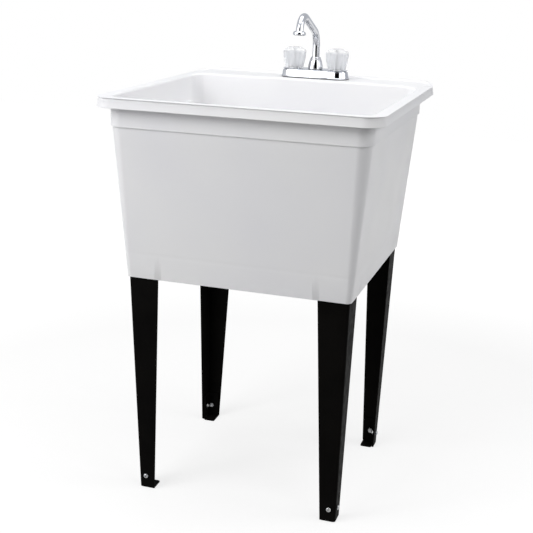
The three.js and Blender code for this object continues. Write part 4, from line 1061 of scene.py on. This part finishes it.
def rod(name, radius, low, high, place, steps=64):
    """A plain round bar whose two ends have a small chamfer."""
    break_edge = min(0.4, (high - low) / 4)
    return turned(name, [(0, low), (radius - break_edge, low), (radius, low + break_edge),
                         (radius, high - break_edge), (radius - break_edge, high), (0, high)], steps, place)


crossways = tap @ Matrix.Translation((0, 0, tube_height)) @ Matrix.Rotation(math.pi / 2, 4, "Y")
waterway = rod("waterway", POST_RADIUS, cover_base, POST_HEIGHT, tap)
parts = [rod("tube", CROSS_TUBE_RADIUS, -VALVE_SPACING / 2, VALVE_SPACING / 2, crossways)]
hollows = [rod("bore", CROSS_TUBE_RADIUS / 2, -VALVE_SPACING / 2, VALVE_SPACING / 2, crossways, 24),
           rod("bore", ring_bore, well_floor + 1, POST_HEIGHT + 1, tap)]
for place in valve_places.values():
    parts.append(rod("well", WELL_RADIUS, cover_base, well_top, place))
    parts.append(rod("neck", NECK_RADIUS, cover_base + 1, NECK_HEIGHT, place))
    parts.append(threaded("shank", SHANK_RADIUS, SHANK_THREAD_DEPTH, SHANK_PITCH,
                          -SHANK_LENGTH, well_floor - 0.4, place, steps=48))
    hollows.append(rod("bore", CARTRIDGE_RADIUS + SEAT_GAP, well_floor, NECK_HEIGHT + 1, place))
    hollows.append(turned("bore", [(0, -SHANK_LENGTH - 1), (SHANK_BORE, -SHANK_LENGTH - 1),
                                   (SHANK_BORE, well_floor + 1), (0, well_floor + 1)], 48, place))
combined(waterway, parts, "UNION")
combined(waterway, hollows, "DIFFERENCE")
finish_edges(waterway, 0, angle=30)
placed(waterway, brass, "sink", "tap_body")

nut_top = deck_underside - deck_top - SEAT_GAP
nut_low = nut_top - MOUNT_NUT_HEIGHT
nut_bore = SHANK_RADIUS + SEAT_GAP
sleeve_radius = SHANK_RADIUS + MOUNT_NUT_SLEEVE
for side, place in valve_places.items():
    flange = nut_top - MOUNT_NUT_FLANGE
    profile = [(nut_bore, nut_low), (sleeve_radius - 0.8, nut_low), (sleeve_radius, nut_low + 0.8),
               (sleeve_radius, flange - 0.8), (sleeve_radius + 0.8, flange),
               (MOUNT_NUT_RADIUS - 0.5, flange), (MOUNT_NUT_RADIUS, flange + 0.5),
               (MOUNT_NUT_RADIUS, nut_top - 0.5), (MOUNT_NUT_RADIUS - 0.5, nut_top), (nut_bore, nut_top)]
    mount_nut = turned(f"finger_nut_{side}", profile, 64, place)
    lugs = []
    for i in range(MOUNT_NUT_LUGS):
        reach = (MOUNT_NUT_RADIUS - sleeve_radius) / 2
        shape = outline(reach, -MOUNT_NUT_LUG_WIDTH / 2, MOUNT_NUT_LUG_WIDTH / 2, MOUNT_NUT_LUG_WIDTH / 2.2)
        heights = (nut_low + MOUNT_NUT_LUG_WIDTH / 2, nut_top - MOUNT_NUT_FLANGE / 2)
        spin = Matrix.Rotation(i * 2 * math.pi / MOUNT_NUT_LUGS, 4, "Z")
        out = Matrix.Translation((sleeve_radius + reach - MOUNT_NUT_LUG_WIDTH / 2, 0, 0))
        lugs.append(solid("lug", *loft([ring(shape, z) for z in heights]), place @ spin @ out))
    combined(mount_nut, lugs, "UNION")
    finish_edges(mount_nut, 0)
    placed(mount_nut, fitting_grey, "sink", f"{side}_mounting_nut")


# ---- Tap: valves -----------------------------------------------------------------------------------------
# In each well stands a plastic quarter-turn cartridge, held by a hexagon bonnet nut. Its plated stem comes
# up through the nut into the knob.

BONNET_FLATS = 24
BONNET_HEIGHT = 4
STEM_RADIUS = 4
STEM_IN_KNOB = 32
STEM_SPLINES = 20
STEM_SPLINE_DEPTH = 0.25
STEM_SCREW_RADIUS = 1.7
STEM_SCREW_DEPTH = 9
KNOB_CLEARANCE = 1.5

steel_grey = surface("steel_grey", paint(176, 178, 182), 0.3, 1)
tinted(steel_grey, speckle(steel_grey, 5), paint(168, 171, 176), paint(186, 187, 188))
rough(steel_grey, speckle(steel_grey, 2), 0.24, 0.42)

sleeve_low = cover_base + WELL_FLOOR + SEAT_GAP
bonnet_low = NECK_HEIGHT + SEAT_GAP
bonnet_top = bonnet_low + BONNET_HEIGHT
knob_low = COVER_HEIGHT + KNOB_CLEARANCE
stem_top = knob_low + STEM_IN_KNOB
for side, place in valve_places.items():
    top = NECK_HEIGHT - 1
    sleeve = turned(f"valve_sleeve_{side}", [
        (STEM_RADIUS + SEAT_GAP, sleeve_low), (CARTRIDGE_RADIUS - 0.4, sleeve_low),
        (CARTRIDGE_RADIUS, sleeve_low + 0.4), (CARTRIDGE_RADIUS, top - 0.4),
        (CARTRIDGE_RADIUS - 0.4, top), (STEM_RADIUS + SEAT_GAP, top)], 48, place)
    finish_edges(sleeve, 0)
    placed(sleeve, fitting_grey, "sink", f"{side}_cartridge")

    bonnet = hex_nut(f"gland_nut_{side}", BONNET_FLATS, STEM_RADIUS + SEAT_GAP, bonnet_low, bonnet_top, place)
    finish_edges(bonnet, 0, angle=25)
    placed(bonnet, steel_grey, "sink", f"{side}_bonnet_nut")

    spline_low = bonnet_top + 4
    rings = []
    for z, depth in ((sleeve_low + 1, 0), (spline_low, 0), (spline_low + 1, STEM_SPLINE_DEPTH),
                     (stem_top - 0.6, STEM_SPLINE_DEPTH), (stem_top, STEM_SPLINE_DEPTH * 2)):
        rings.append([])
        for i in range(STEM_SPLINES * 4):
            angle = i / (STEM_SPLINES * 4) * 2 * math.pi
            reach = STEM_RADIUS - depth * (0.5 + 0.5 * math.cos(angle * STEM_SPLINES))
            rings[-1].append(Vector((reach * math.cos(angle), reach * math.sin(angle), z)))
    stem = solid(f"valve_stem_{side}", *loft(rings), place)
    screw_hole = [(0, stem_top - STEM_SCREW_DEPTH), (STEM_SCREW_RADIUS, stem_top - STEM_SCREW_DEPTH),
                  (STEM_SCREW_RADIUS, stem_top + 1), (0, stem_top + 1)]
    combined(stem, [turned("hole", screw_hole, 32, place)], "DIFFERENCE")
    finish_edges(stem, 0)
    placed(stem, steel_grey, f"{side}_valve", f"{side}_stem")


# ---- Tap: knobs ------------------------------------------------------------------------------------------
# Clear acrylic, moulded in one piece: narrow at the foot, wider towards a low domed top, with twelve
# flutes. A screw under a push-in button holds each on its stem. The button is clear too, over a red or blue
# dot.

KNOB_RADIUS = 27
KNOB_FOOT_RADIUS = 21.5
KNOB_HEIGHT = 47
KNOB_DOME = 5.5
KNOB_LOBES = 12
KNOB_LOBE_STEPS = 10
KNOB_LOBE_DEPTH = 1.3
KNOB_WELL_RADIUS = 15.5
KNOB_WELL_CORNER = 2
KNOB_WEB = 2
KNOB_FOOT_BAND = 2
KNOB_SHOULDER_BAND = 6
KNOB_SHOULDER_RISE = 7.4
KNOB_SCREW_LENGTH = 7
KNOB_SCREW_HEAD = 2
KNOB_SCREW_THREAD = 0.3
KNOB_SCREW_PITCH = 0.8
BUTTON_RADIUS = 8
BUTTON_HEIGHT = 2.2
BUTTON_DOT = 3.2
ACRYLIC_CLEARNESS = 0.7
ACRYLIC_BENDING = 1.22

acrylic = surface("acrylic", paint(250, 251, 251), 0.15)
acrylic_shader = acrylic.node_tree.nodes["Principled BSDF"]
acrylic_shader.inputs["Transmission Weight"].default_value = ACRYLIC_CLEARNESS
acrylic_shader.inputs["IOR"].default_value = ACRYLIC_BENDING
rough(acrylic, speckle(acrylic, 12), 0.12, 0.22)
tinted(acrylic, speckle(acrylic, 30), paint(247, 248, 249), paint(253, 253, 254))


def lobed(radius, z, depth):
    """Points round a knob: twelve round lobes that meet in grooves of the given depth."""
    count = KNOB_LOBES * KNOB_LOBE_STEPS
    points = []
    for i in range(count):
        angle = i * 2 * math.pi / count
        reach = radius - depth * (1 - abs(math.cos(angle * KNOB_LOBES / 2)))
        points.append(Vector((reach * math.cos(angle), reach * math.sin(angle), z)))
    return points


knob_top = knob_low + KNOB_HEIGHT
shoulder = knob_top - KNOB_DOME
button_seat = knob_top - BUTTON_HEIGHT - SEAT_GAP
knob_floor = stem_top + SEAT_GAP
well_roof = bonnet_top + KNOB_CLEARANCE * 2
stem_bore = STEM_RADIUS + SEAT_GAP
for side, place in valve_places.items():
    rings = [
        lobed(KNOB_FOOT_RADIUS - KNOB_FOOT_BAND / 2, knob_low, KNOB_LOBE_DEPTH / 2),
        lobed(KNOB_FOOT_RADIUS - KNOB_FOOT_BAND * 0.2, knob_low + KNOB_FOOT_BAND * 0.35,
              KNOB_LOBE_DEPTH * 0.85),
        lobed(KNOB_FOOT_RADIUS, knob_low + KNOB_FOOT_BAND, KNOB_LOBE_DEPTH),
    ]
    taper_low = knob_low + KNOB_FOOT_BAND
    taper_high = shoulder - KNOB_SHOULDER_BAND
    for i in range(1, 9):
        share = i / 8
        widening = (KNOB_RADIUS - KNOB_FOOT_RADIUS) * math.sin(share * math.pi / 2) ** 1.1
        rings.append(lobed(KNOB_FOOT_RADIUS + widening, taper_low + (taper_high - taper_low) * share,
                           KNOB_LOBE_DEPTH))
    for i in range(1, 7):
        angle = i / 6 * math.pi / 2
        rings.append(lobed(KNOB_RADIUS - KNOB_SHOULDER_BAND * (1 - math.cos(angle)),
                           taper_high + KNOB_SHOULDER_RISE * math.sin(angle),
                           KNOB_LOBE_DEPTH * (1 - 0.06 * i)))
    dome_low = taper_high + KNOB_SHOULDER_RISE
    for i in range(1, 6):
        share = i / 5
        radius = KNOB_RADIUS - KNOB_SHOULDER_BAND
        rings.append(lobed(radius + (BUTTON_RADIUS + KNOB_WEB - radius) * share,
                           dome_low + (knob_top - dome_low) * math.sin(share * math.pi / 2),
                           KNOB_LOBE_DEPTH * 0.6 * (1 - share)))
    knob = solid(f"fluted_knob_{side}", *loft(rings), place)
    hollow = [(0, knob_low - 1), (KNOB_WELL_RADIUS, knob_low - 1),
              (KNOB_WELL_RADIUS, well_roof - KNOB_WELL_CORNER)]
    for i in range(1, 5):
        angle = i / 4 * math.pi / 2
        hollow.append((KNOB_WELL_RADIUS - KNOB_WELL_CORNER * (1 - math.cos(angle)),
                       well_roof - KNOB_WELL_CORNER * (1 - math.sin(angle))))
    hollow += [(stem_bore, well_roof), (stem_bore, knob_floor), (STEM_SCREW_RADIUS, knob_floor),
               (STEM_SCREW_RADIUS, knob_floor + KNOB_WEB), (STEM_RADIUS, knob_floor + KNOB_WEB),
               (STEM_RADIUS, button_seat), (BUTTON_RADIUS + SEAT_GAP, button_seat),
               (BUTTON_RADIUS + SEAT_GAP, knob_top + 1), (0, knob_top + 1)]
    combined(knob, [turned("hollow", hollow, 64, place)], "DIFFERENCE")
    finish_edges(knob, 0, angle=35)
    placed(knob, acrylic, f"{side}_valve", f"{side}_knob")

    head_low = knob_floor + SEAT_GAP + KNOB_WEB
    head_radius = STEM_RADIUS - SEAT_GAP * 2
    shank_radius = STEM_SCREW_RADIUS - SEAT_GAP
    knob_screw = threaded(f"knob_bolt_{side}", shank_radius, KNOB_SCREW_THREAD, KNOB_SCREW_PITCH,
                          stem_top - KNOB_SCREW_LENGTH, head_low + 0.4, place, steps=20)
    head_profile = [(0, head_low), (head_radius, head_low), (head_radius, head_low + KNOB_SCREW_HEAD * 0.6),
                    (head_radius * 0.8, head_low + KNOB_SCREW_HEAD), (0, head_low + KNOB_SCREW_HEAD * 1.15)]
    combined(knob_screw, [turned("head", head_profile, 32, place)], "UNION")
    finish_edges(knob_screw, 0)
    placed(knob_screw, zinc, f"{side}_valve", f"{side}_knob_screw")

BUTTONS = {"hot": ("red", paint(184, 40, 44)), "cold": ("blue", paint(38, 92, 170))}
for side, (colour_name, colour) in BUTTONS.items():
    low = knob_top - BUTTON_HEIGHT
    crown = BUTTON_HEIGHT / 4
    profile = [(0, low), (BUTTON_RADIUS, low), (BUTTON_RADIUS, knob_top - crown)]
    for i in range(1, 7):
        share = i / 6
        profile.append((BUTTON_RADIUS * (1 - share) if i < 6 else 0,
                        knob_top - crown + 2 * crown * math.sin(share * math.pi / 2)))
    button = turned(f"index_button_{side}", profile, 64, valve_places[side])
    finish_edges(button, 0)
    dotted = surface(f"button_{colour_name}", paint(222, 224, 226), 0.12)
    nodes, links = dotted.node_tree.nodes, dotted.node_tree.links
    spot = nodes.new("ShaderNodeTexCoord")
    centre = nodes.new("ShaderNodeVectorMath")
    centre.operation = "DISTANCE"
    middle = valve_places[side].translation / 1000
    centre.inputs[1].default_value = (middle.x, middle.y, (deck_top + knob_top + crown) / 1000)
    links.new(spot.outputs["Object"], centre.inputs[0])
    dot_edge = BUTTON_DOT / 1000
    tinted(dotted, centre.outputs["Value"], colour, paint(222, 224, 226), dot_edge - 0.0002, dot_edge)
    rough(dotted, speckle(dotted, 3), 0.08, 0.16)
    placed(button, dotted, f"{side}_valve", f"{side}_index_cap")


# ---- Tap: hub nut and spout ------------------------------------------------------------------------------
# The spout is bent from thin brass tube and chrome plated: a column, a long slant and a crook over the
# basin. A bell-shaped nut clamps its flange on the post so that it can swing, and a rubber ring seals it
# inside the post.

HUB_RADIUS = 17
HUB_TOP_RADIUS = 11.6
HUB_HEIGHT = 28
SPOUT_WALL = 1.2
SPOUT_COLUMN = 99
SPOUT_LOWER_BEND = 38
SPOUT_SLOPE = math.radians(22.5)
SPOUT_SLANT_REACH = 99
SPOUT_CROOK = 33.5
SPOUT_OUTLET_TILT = math.radians(8)
SPOUT_FLANGE_RADIUS = 11
SPOUT_FLANGE_HEIGHT = 1.4
SPOUT_RUNNING_GAP = 0.35
SPOUT_FOOT = 8
RING_DROP = 6
NOZZLE_THROAT = 3.5

flange_low = POST_HEIGHT + SEAT_GAP
hub_low = COVER_HEIGHT + SEAT_GAP
hub_high = COVER_HEIGHT + HUB_HEIGHT
hub_bore = SPOUT_RADIUS + SPOUT_RUNNING_GAP
hub_lip = HUB_TOP_RADIUS - hub_bore
profile = [(POST_RADIUS + SEAT_GAP, hub_low), (HUB_RADIUS - 0.4, hub_low)]
for i in range(25):
    share = i / 24
    profile.append((HUB_TOP_RADIUS + (HUB_RADIUS - HUB_TOP_RADIUS) * math.cos(share * math.pi / 2) ** 0.8,
                    hub_low + 0.4 + (hub_high - hub_low - hub_lip - 0.4) * share))
for i in range(1, 7):
    angle = i / 6 * math.pi / 2
    profile.append((hub_bore + hub_lip / 4 + hub_lip * 0.75 * math.cos(angle),
                    hub_high - hub_lip * (1 - math.sin(angle))))
shoulder_low = flange_low + SPOUT_FLANGE_HEIGHT + SEAT_GAP
profile += [(hub_bore, hub_high), (hub_bore, shoulder_low), (POST_RADIUS + SEAT_GAP, shoulder_low)]
hub = turned("hub_bell", profile, 96, tap)
finish_edges(hub, 0)
placed(hub, chrome, "sink", "spout_hub_nut")


def spout_route():
    """Centre points of the tube, each with the direction it runs in, in the plane of its reach and height."""
    tangent = SPOUT_LOWER_BEND * math.tan((math.pi / 2 - SPOUT_SLOPE) / 2)
    crook_start = Vector((SPOUT_SLANT_REACH, SPOUT_COLUMN + SPOUT_SLANT_REACH * math.tan(SPOUT_SLOPE)))
    crook_centre = crook_start + SPOUT_CROOK * Vector((math.sin(SPOUT_SLOPE), -math.cos(SPOUT_SLOPE)))
    stations = [(Vector((0, cover_base + SPOUT_FOOT)), Vector((0, 1)))]

    def arc(centre, radius, start, stop, steps):
        for i in range(steps + 1):
            angle = start + (stop - start) * i / steps
            stations.append((centre + radius * Vector((math.cos(angle), math.sin(angle))),
                             Vector((math.sin(angle), -math.cos(angle)))))

    slanting = math.pi / 2 + SPOUT_SLOPE
    arc(Vector((SPOUT_LOWER_BEND, SPOUT_COLUMN - tangent)), SPOUT_LOWER_BEND, math.pi, slanting, 14)
    arc(crook_centre, SPOUT_CROOK, slanting, SPOUT_OUTLET_TILT, 26)
    end, heading = stations[-1]
    stations.append((end + heading * NOZZLE_THROAT, heading))
    return stations


route = spout_route()
outer_rings, inner_rings = [], []
for centre, heading in route:
    across = Vector((0, -heading.y, -heading.x))
    for rings_made, radius in ((outer_rings, SPOUT_RADIUS), (inner_rings, SPOUT_RADIUS - SPOUT_WALL)):
        rings_made.append([])
        for i in range(48):
            angle = i / 48 * 2 * math.pi
            beside = Vector((radius * math.cos(angle), -centre.x, centre.y))
            rings_made[-1].append(beside + radius * math.sin(angle) * across)
spout = solid("spout_tube", *loft(outer_rings + inner_rings[::-1], closed=True), tap)
flange_profile = [(SPOUT_RADIUS - SPOUT_WALL / 2, flange_low), (SPOUT_FLANGE_RADIUS, flange_low),
                  (SPOUT_FLANGE_RADIUS, flange_low + SPOUT_FLANGE_HEIGHT),
                  (SPOUT_RADIUS - SPOUT_WALL / 2, flange_low + SPOUT_FLANGE_HEIGHT)]
combined(spout, [turned("flange", flange_profile, 64, tap)], "UNION")
finish_edges(spout, 0)
placed(spout, chrome, "swing_spout", "spout")

ring_middle = SPOUT_RADIUS + SEAT_GAP + RING_THICKNESS / 2
profile = [(ring_middle + RING_THICKNESS / 2 * math.cos(i / 16 * 2 * math.pi),
            POST_HEIGHT - RING_DROP + RING_THICKNESS / 2 * math.sin(i / 16 * 2 * math.pi)) for i in range(16)]
seal_ring = turned("seal_ring", profile, 64, tap)
finish_edges(seal_ring, 0)
placed(seal_ring, rubber, "sink", "spout_o_ring")


# ---- Tap: hose collar ------------------------------------------------------------------------------------
# A turned brass collar pressed on the end of the spout, chrome plated, with a bevelled shoulder. A plastic
# plate with a ring of holes sits inside it and straightens the flow.

NOZZLE_RADIUS = 14
NOZZLE_LENGTH = 8
NOZZLE_WALL = 2
NOZZLE_SKIRT = 4
NOZZLE_SHOULDER = 3.4
FLOW_HOLES = 6
FLOW_HOLE_RADIUS = 1.4
FLOW_HOLE_CIRCLE = 6.5
FLOW_CENTRE_HOLE = 2.2

outlet_end = route[-2][0]
outlet = tap @ Matrix.Translation((0, -outlet_end.x, outlet_end.y))
outlet = outlet @ Matrix.Rotation(-SPOUT_OUTLET_TILT, 4, "X")
collar_low = NOZZLE_THROAT - NOZZLE_LENGTH - NOZZLE_SKIRT
collar_bore = SPOUT_RADIUS + SEAT_GAP
collar_inside = NOZZLE_RADIUS - NOZZLE_WALL
insert_seat = -NOZZLE_THROAT - SEAT_GAP
bevel = NOZZLE_WALL / 2
profile = [
    (collar_bore, 0), (collar_bore, insert_seat), (collar_inside, insert_seat), (collar_inside, collar_low),
    (NOZZLE_RADIUS - bevel, collar_low), (NOZZLE_RADIUS - bevel * 0.3, collar_low + bevel * 0.3),
    (NOZZLE_RADIUS, collar_low + bevel), (NOZZLE_RADIUS, -NOZZLE_SHOULDER - 0.6),
    (NOZZLE_RADIUS - 0.3, -NOZZLE_SHOULDER + 0.2),
    (NOZZLE_RADIUS - NOZZLE_SHOULDER * 0.4, -NOZZLE_SHOULDER * 0.35),
    (NOZZLE_RADIUS - NOZZLE_SHOULDER * 1.1, -0.2), (NOZZLE_RADIUS - NOZZLE_SHOULDER * 1.25, 0),
]
hose_collar = turned("hose_collar", profile, 96, outlet)
finish_edges(hose_collar, 0)
placed(hose_collar, chrome, "swing_spout", "nozzle_collar")

plate_top = insert_seat - SEAT_GAP
plate_low = collar_low + 1
flow_plate = rod("flow_plate", collar_inside - SEAT_GAP, plate_low, plate_top, outlet)
holes = [rod("hole", FLOW_CENTRE_HOLE, plate_low - 1, plate_top + 1, outlet, 24)]
for i in range(FLOW_HOLES):
    spin = Matrix.Rotation(i * 2 * math.pi / FLOW_HOLES, 4, "Z")
    spot = outlet @ spin @ Matrix.Translation((FLOW_HOLE_CIRCLE, 0, 0))
    holes.append(rod("hole", FLOW_HOLE_RADIUS, plate_low - 1, plate_top + 1, spot, 20))
combined(flow_plate, holes, "DIFFERENCE")
finish_edges(flow_plate, 0)
placed(flow_plate, fitting_grey, "swing_spout", "nozzle_flow_insert")


# ---- Drain -----------------------------------------------------------------------------------------------
# A moulded strainer body sits in the floor's recess and is drawn down by a lock nut over a rubber gasket
# and a slip ring. The tailpiece hangs from it in a slip nut with a soft washer, and a rubber stopper lifts
# out.

DRAIN_FLANGE = 38
DRAIN_FLANGE_HEIGHT = 3
DRAIN_FLANGE_EDGE = 1.2
DRAIN_THREAD = 22
DRAIN_THREAD_DEPTH = 1.0
DRAIN_PITCH = 2.5
DRAIN_BORE = 19.4
DRAIN_BODY_LENGTH = 46
DRAIN_BARS = 4
DRAIN_BAR_WIDTH = 3
DRAIN_GASKET_HEIGHT = 3
SLIP_RING_HEIGHT = 1
DRAIN_NUT_FLATS = 62
DRAIN_NUT_HEIGHT = 9
TAILPIECE_RADIUS = 19
TAILPIECE_WALL = 1.3
TAILPIECE_GRIP = 12
TAILPIECE_LENGTH = 66
SLIP_WASHER_HEIGHT = 2.5
SLIP_NUT_RADIUS = 27
SLIP_NUT_HEIGHT = 15
SLIP_NUT_FLOOR = 2.5
SLIP_NUT_RIBS = 20
STOPPER_RADIUS = 17.5
STOPPER_HEIGHT = 12
STOPPER_RIM = 1
STOPPER_GRIP_RADIUS = 5
STOPPER_GRIP_HEIGHT = 12.6

drain = Matrix.Translation((0, DRAIN_Y, drain_seat))
body_end = -FLOOR_THICKNESS - DRAIN_BODY_LENGTH


strainer = threaded("strainer_cup", DRAIN_THREAD, DRAIN_THREAD_DEPTH, DRAIN_PITCH, body_end, -0.5, drain,
                    bore=DRAIN_BORE, steps=72)
flange_top = DRAIN_FLANGE - DRAIN_FLANGE_HEIGHT
cup_mouth = DRAIN_BORE + DRAIN_FLANGE_HEIGHT
flange_profile = [
    (DRAIN_BORE, -2), (DRAIN_THREAD - 0.5, -2), (DRAIN_THREAD - 0.5, SEAT_GAP),
    (DRAIN_FLANGE - 0.4, SEAT_GAP), (DRAIN_FLANGE, SEAT_GAP + 0.4),
    (DRAIN_FLANGE - 0.2, DRAIN_FLANGE_EDGE + 0.3),
    (flange_top, DRAIN_FLANGE_HEIGHT - 0.3), (flange_top - 1.2, DRAIN_FLANGE_HEIGHT),
    (cup_mouth, DRAIN_FLANGE_HEIGHT), (cup_mouth - STOPPER_RIM - 0.3, DRAIN_FLANGE_HEIGHT - 0.3),
    (DRAIN_BORE, STOPPER_RIM),
]
bars = []
for i in range(DRAIN_BARS // 2):
    reach = (DRAIN_BORE + DRAIN_THREAD) / 2 - 0.5
    shape = outline(reach, -DRAIN_BAR_WIDTH / 2, DRAIN_BAR_WIDTH / 2, 0.6)
    spin = Matrix.Rotation(i * 2 * math.pi / DRAIN_BARS, 4, "Z")
    heights = (-STOPPER_HEIGHT - DRAIN_BAR_WIDTH, -STOPPER_HEIGHT)
    bars.append(solid("bar", *loft([ring(shape, z) for z in heights]), drain @ spin))
combined(strainer, [turned("flange", flange_profile, 96, drain), *bars], "UNION")
finish_edges(strainer, 0)
placed(strainer, fitting_grey, "sink", "drain_strainer")

stopper_low = -STOPPER_HEIGHT + SEAT_GAP
rim_radius = STOPPER_RADIUS + STOPPER_RIM
grip_low = DRAIN_FLANGE_HEIGHT
profile = [
    (0, stopper_low), (STOPPER_RADIUS - STOPPER_RIM - 1, stopper_low),
    (STOPPER_RADIUS - STOPPER_RIM, stopper_low + 1), (STOPPER_RADIUS, 0),
    (rim_radius, STOPPER_RIM + SEAT_GAP), (rim_radius, grip_low + STOPPER_RIM - 0.6),
    (rim_radius - 0.6, grip_low + STOPPER_RIM),
    (STOPPER_GRIP_RADIUS * 1.6, grip_low + STOPPER_GRIP_RADIUS * 0.3),
    (STOPPER_GRIP_RADIUS * 0.8, grip_low + STOPPER_GRIP_RADIUS / 2),
]
for i in range(13):
    share = i / 12
    lift = 0.3 + 0.7 * share
    swell = 0.6 + 0.4 * math.sin(max(0.0, (share - 0.25) / 0.75) * math.pi) ** 2
    end = math.cos(max(0.0, (share - 0.85) / 0.15) * math.pi / 2)
    radius = STOPPER_GRIP_RADIUS * swell * end if i < 12 else 0
    profile.append((radius, grip_low + STOPPER_GRIP_HEIGHT * lift))
stopper = turned("rubber_stopper", profile, 64, drain)
finish_edges(stopper, 0)
placed(stopper, rubber, "stopper", "drain_stopper")


def washer(name, outer, inner, low, high, soften):
    """A flat ring round the drain whose outer edges are softened."""
    return turned(name, [(inner, low), (outer - soften, low), (outer, low + soften), (outer, high - soften),
                         (outer - soften, high), (inner, high)], 72, drain)


thread_bore = DRAIN_THREAD + SEAT_GAP
washer_radius = DRAIN_FLANGE - DRAIN_FLANGE_HEIGHT
face = -FLOOR_THICKNESS - SEAT_GAP
gasket = washer("drain_seal", washer_radius, thread_bore, face - DRAIN_GASKET_HEIGHT, face, 0.5)
finish_edges(gasket, 0)
placed(gasket, rubber, "sink", "drain_gasket")

face -= DRAIN_GASKET_HEIGHT + SEAT_GAP
slip_ring = washer("slip_ring", washer_radius, thread_bore, face - SLIP_RING_HEIGHT, face, 0.2)
finish_edges(slip_ring, 0)
placed(slip_ring, fitting_grey, "sink", "drain_friction_ring")

face -= SLIP_RING_HEIGHT + SEAT_GAP
lock_nut = hex_nut("lock_hexagon", DRAIN_NUT_FLATS, thread_bore, face - DRAIN_NUT_HEIGHT, face, drain)
finish_edges(lock_nut, 0.4, angle=35)
placed(lock_nut, fitting_grey, "sink", "drain_lock_nut")

pipe_bore = TAILPIECE_RADIUS + SEAT_GAP
washer_top = body_end - SEAT_GAP
soft_washer = washer("soft_washer", DRAIN_THREAD + 1, pipe_bore,
                     washer_top - SLIP_WASHER_HEIGHT, washer_top, 0.5)
finish_edges(soft_washer, 0)
placed(soft_washer, fitting_grey, "sink", "slip_washer")

pipe_top = body_end + TAILPIECE_GRIP
pipe_low = pipe_top - TAILPIECE_LENGTH
pipe_inner = TAILPIECE_RADIUS - TAILPIECE_WALL
tail_pipe = turned("tail_pipe", [
    (pipe_inner, pipe_low), (TAILPIECE_RADIUS - 0.4, pipe_low), (TAILPIECE_RADIUS, pipe_low + 0.4),
    (TAILPIECE_RADIUS, pipe_top - 0.4), (TAILPIECE_RADIUS - 0.4, pipe_top), (pipe_inner, pipe_top),
], 72, drain)
finish_edges(tail_pipe, 0)
placed(tail_pipe, fitting_grey, "sink", "drain_tailpiece")

slip_seat = washer_top - SLIP_WASHER_HEIGHT - SEAT_GAP
slip_low = slip_seat - SLIP_NUT_FLOOR
slip_top = slip_low + SLIP_NUT_HEIGHT
rings = []
for z, shrink in ((slip_low, 1.2), (slip_low + 1.2, 0), (slip_top - 1.2, 0), (slip_top, 1.0)):
    rings.append([])
    for i in range(SLIP_NUT_RIBS * 8):
        angle = i / (SLIP_NUT_RIBS * 8) * 2 * math.pi
        reach = SLIP_NUT_RADIUS - shrink - 1.1 * (0.5 + 0.5 * math.cos(angle * SLIP_NUT_RIBS)) ** 3
        rings[-1].append(Vector((reach * math.cos(angle), reach * math.sin(angle), z)))
slip_nut = solid("slip_cap", *loft(rings), drain)
slip_bore = DRAIN_THREAD + 1 + SEAT_GAP
slip_hollow = [(0, slip_low - 1), (pipe_bore, slip_low - 1), (pipe_bore, slip_seat), (slip_bore, slip_seat),
               (slip_bore, slip_top + 1), (0, slip_top + 1)]
combined(slip_nut, [turned("hollow", slip_hollow, 72, drain)], "DIFFERENCE")
finish_edges(slip_nut, 0)
placed(slip_nut, fitting_grey, "sink", "slip_nut")
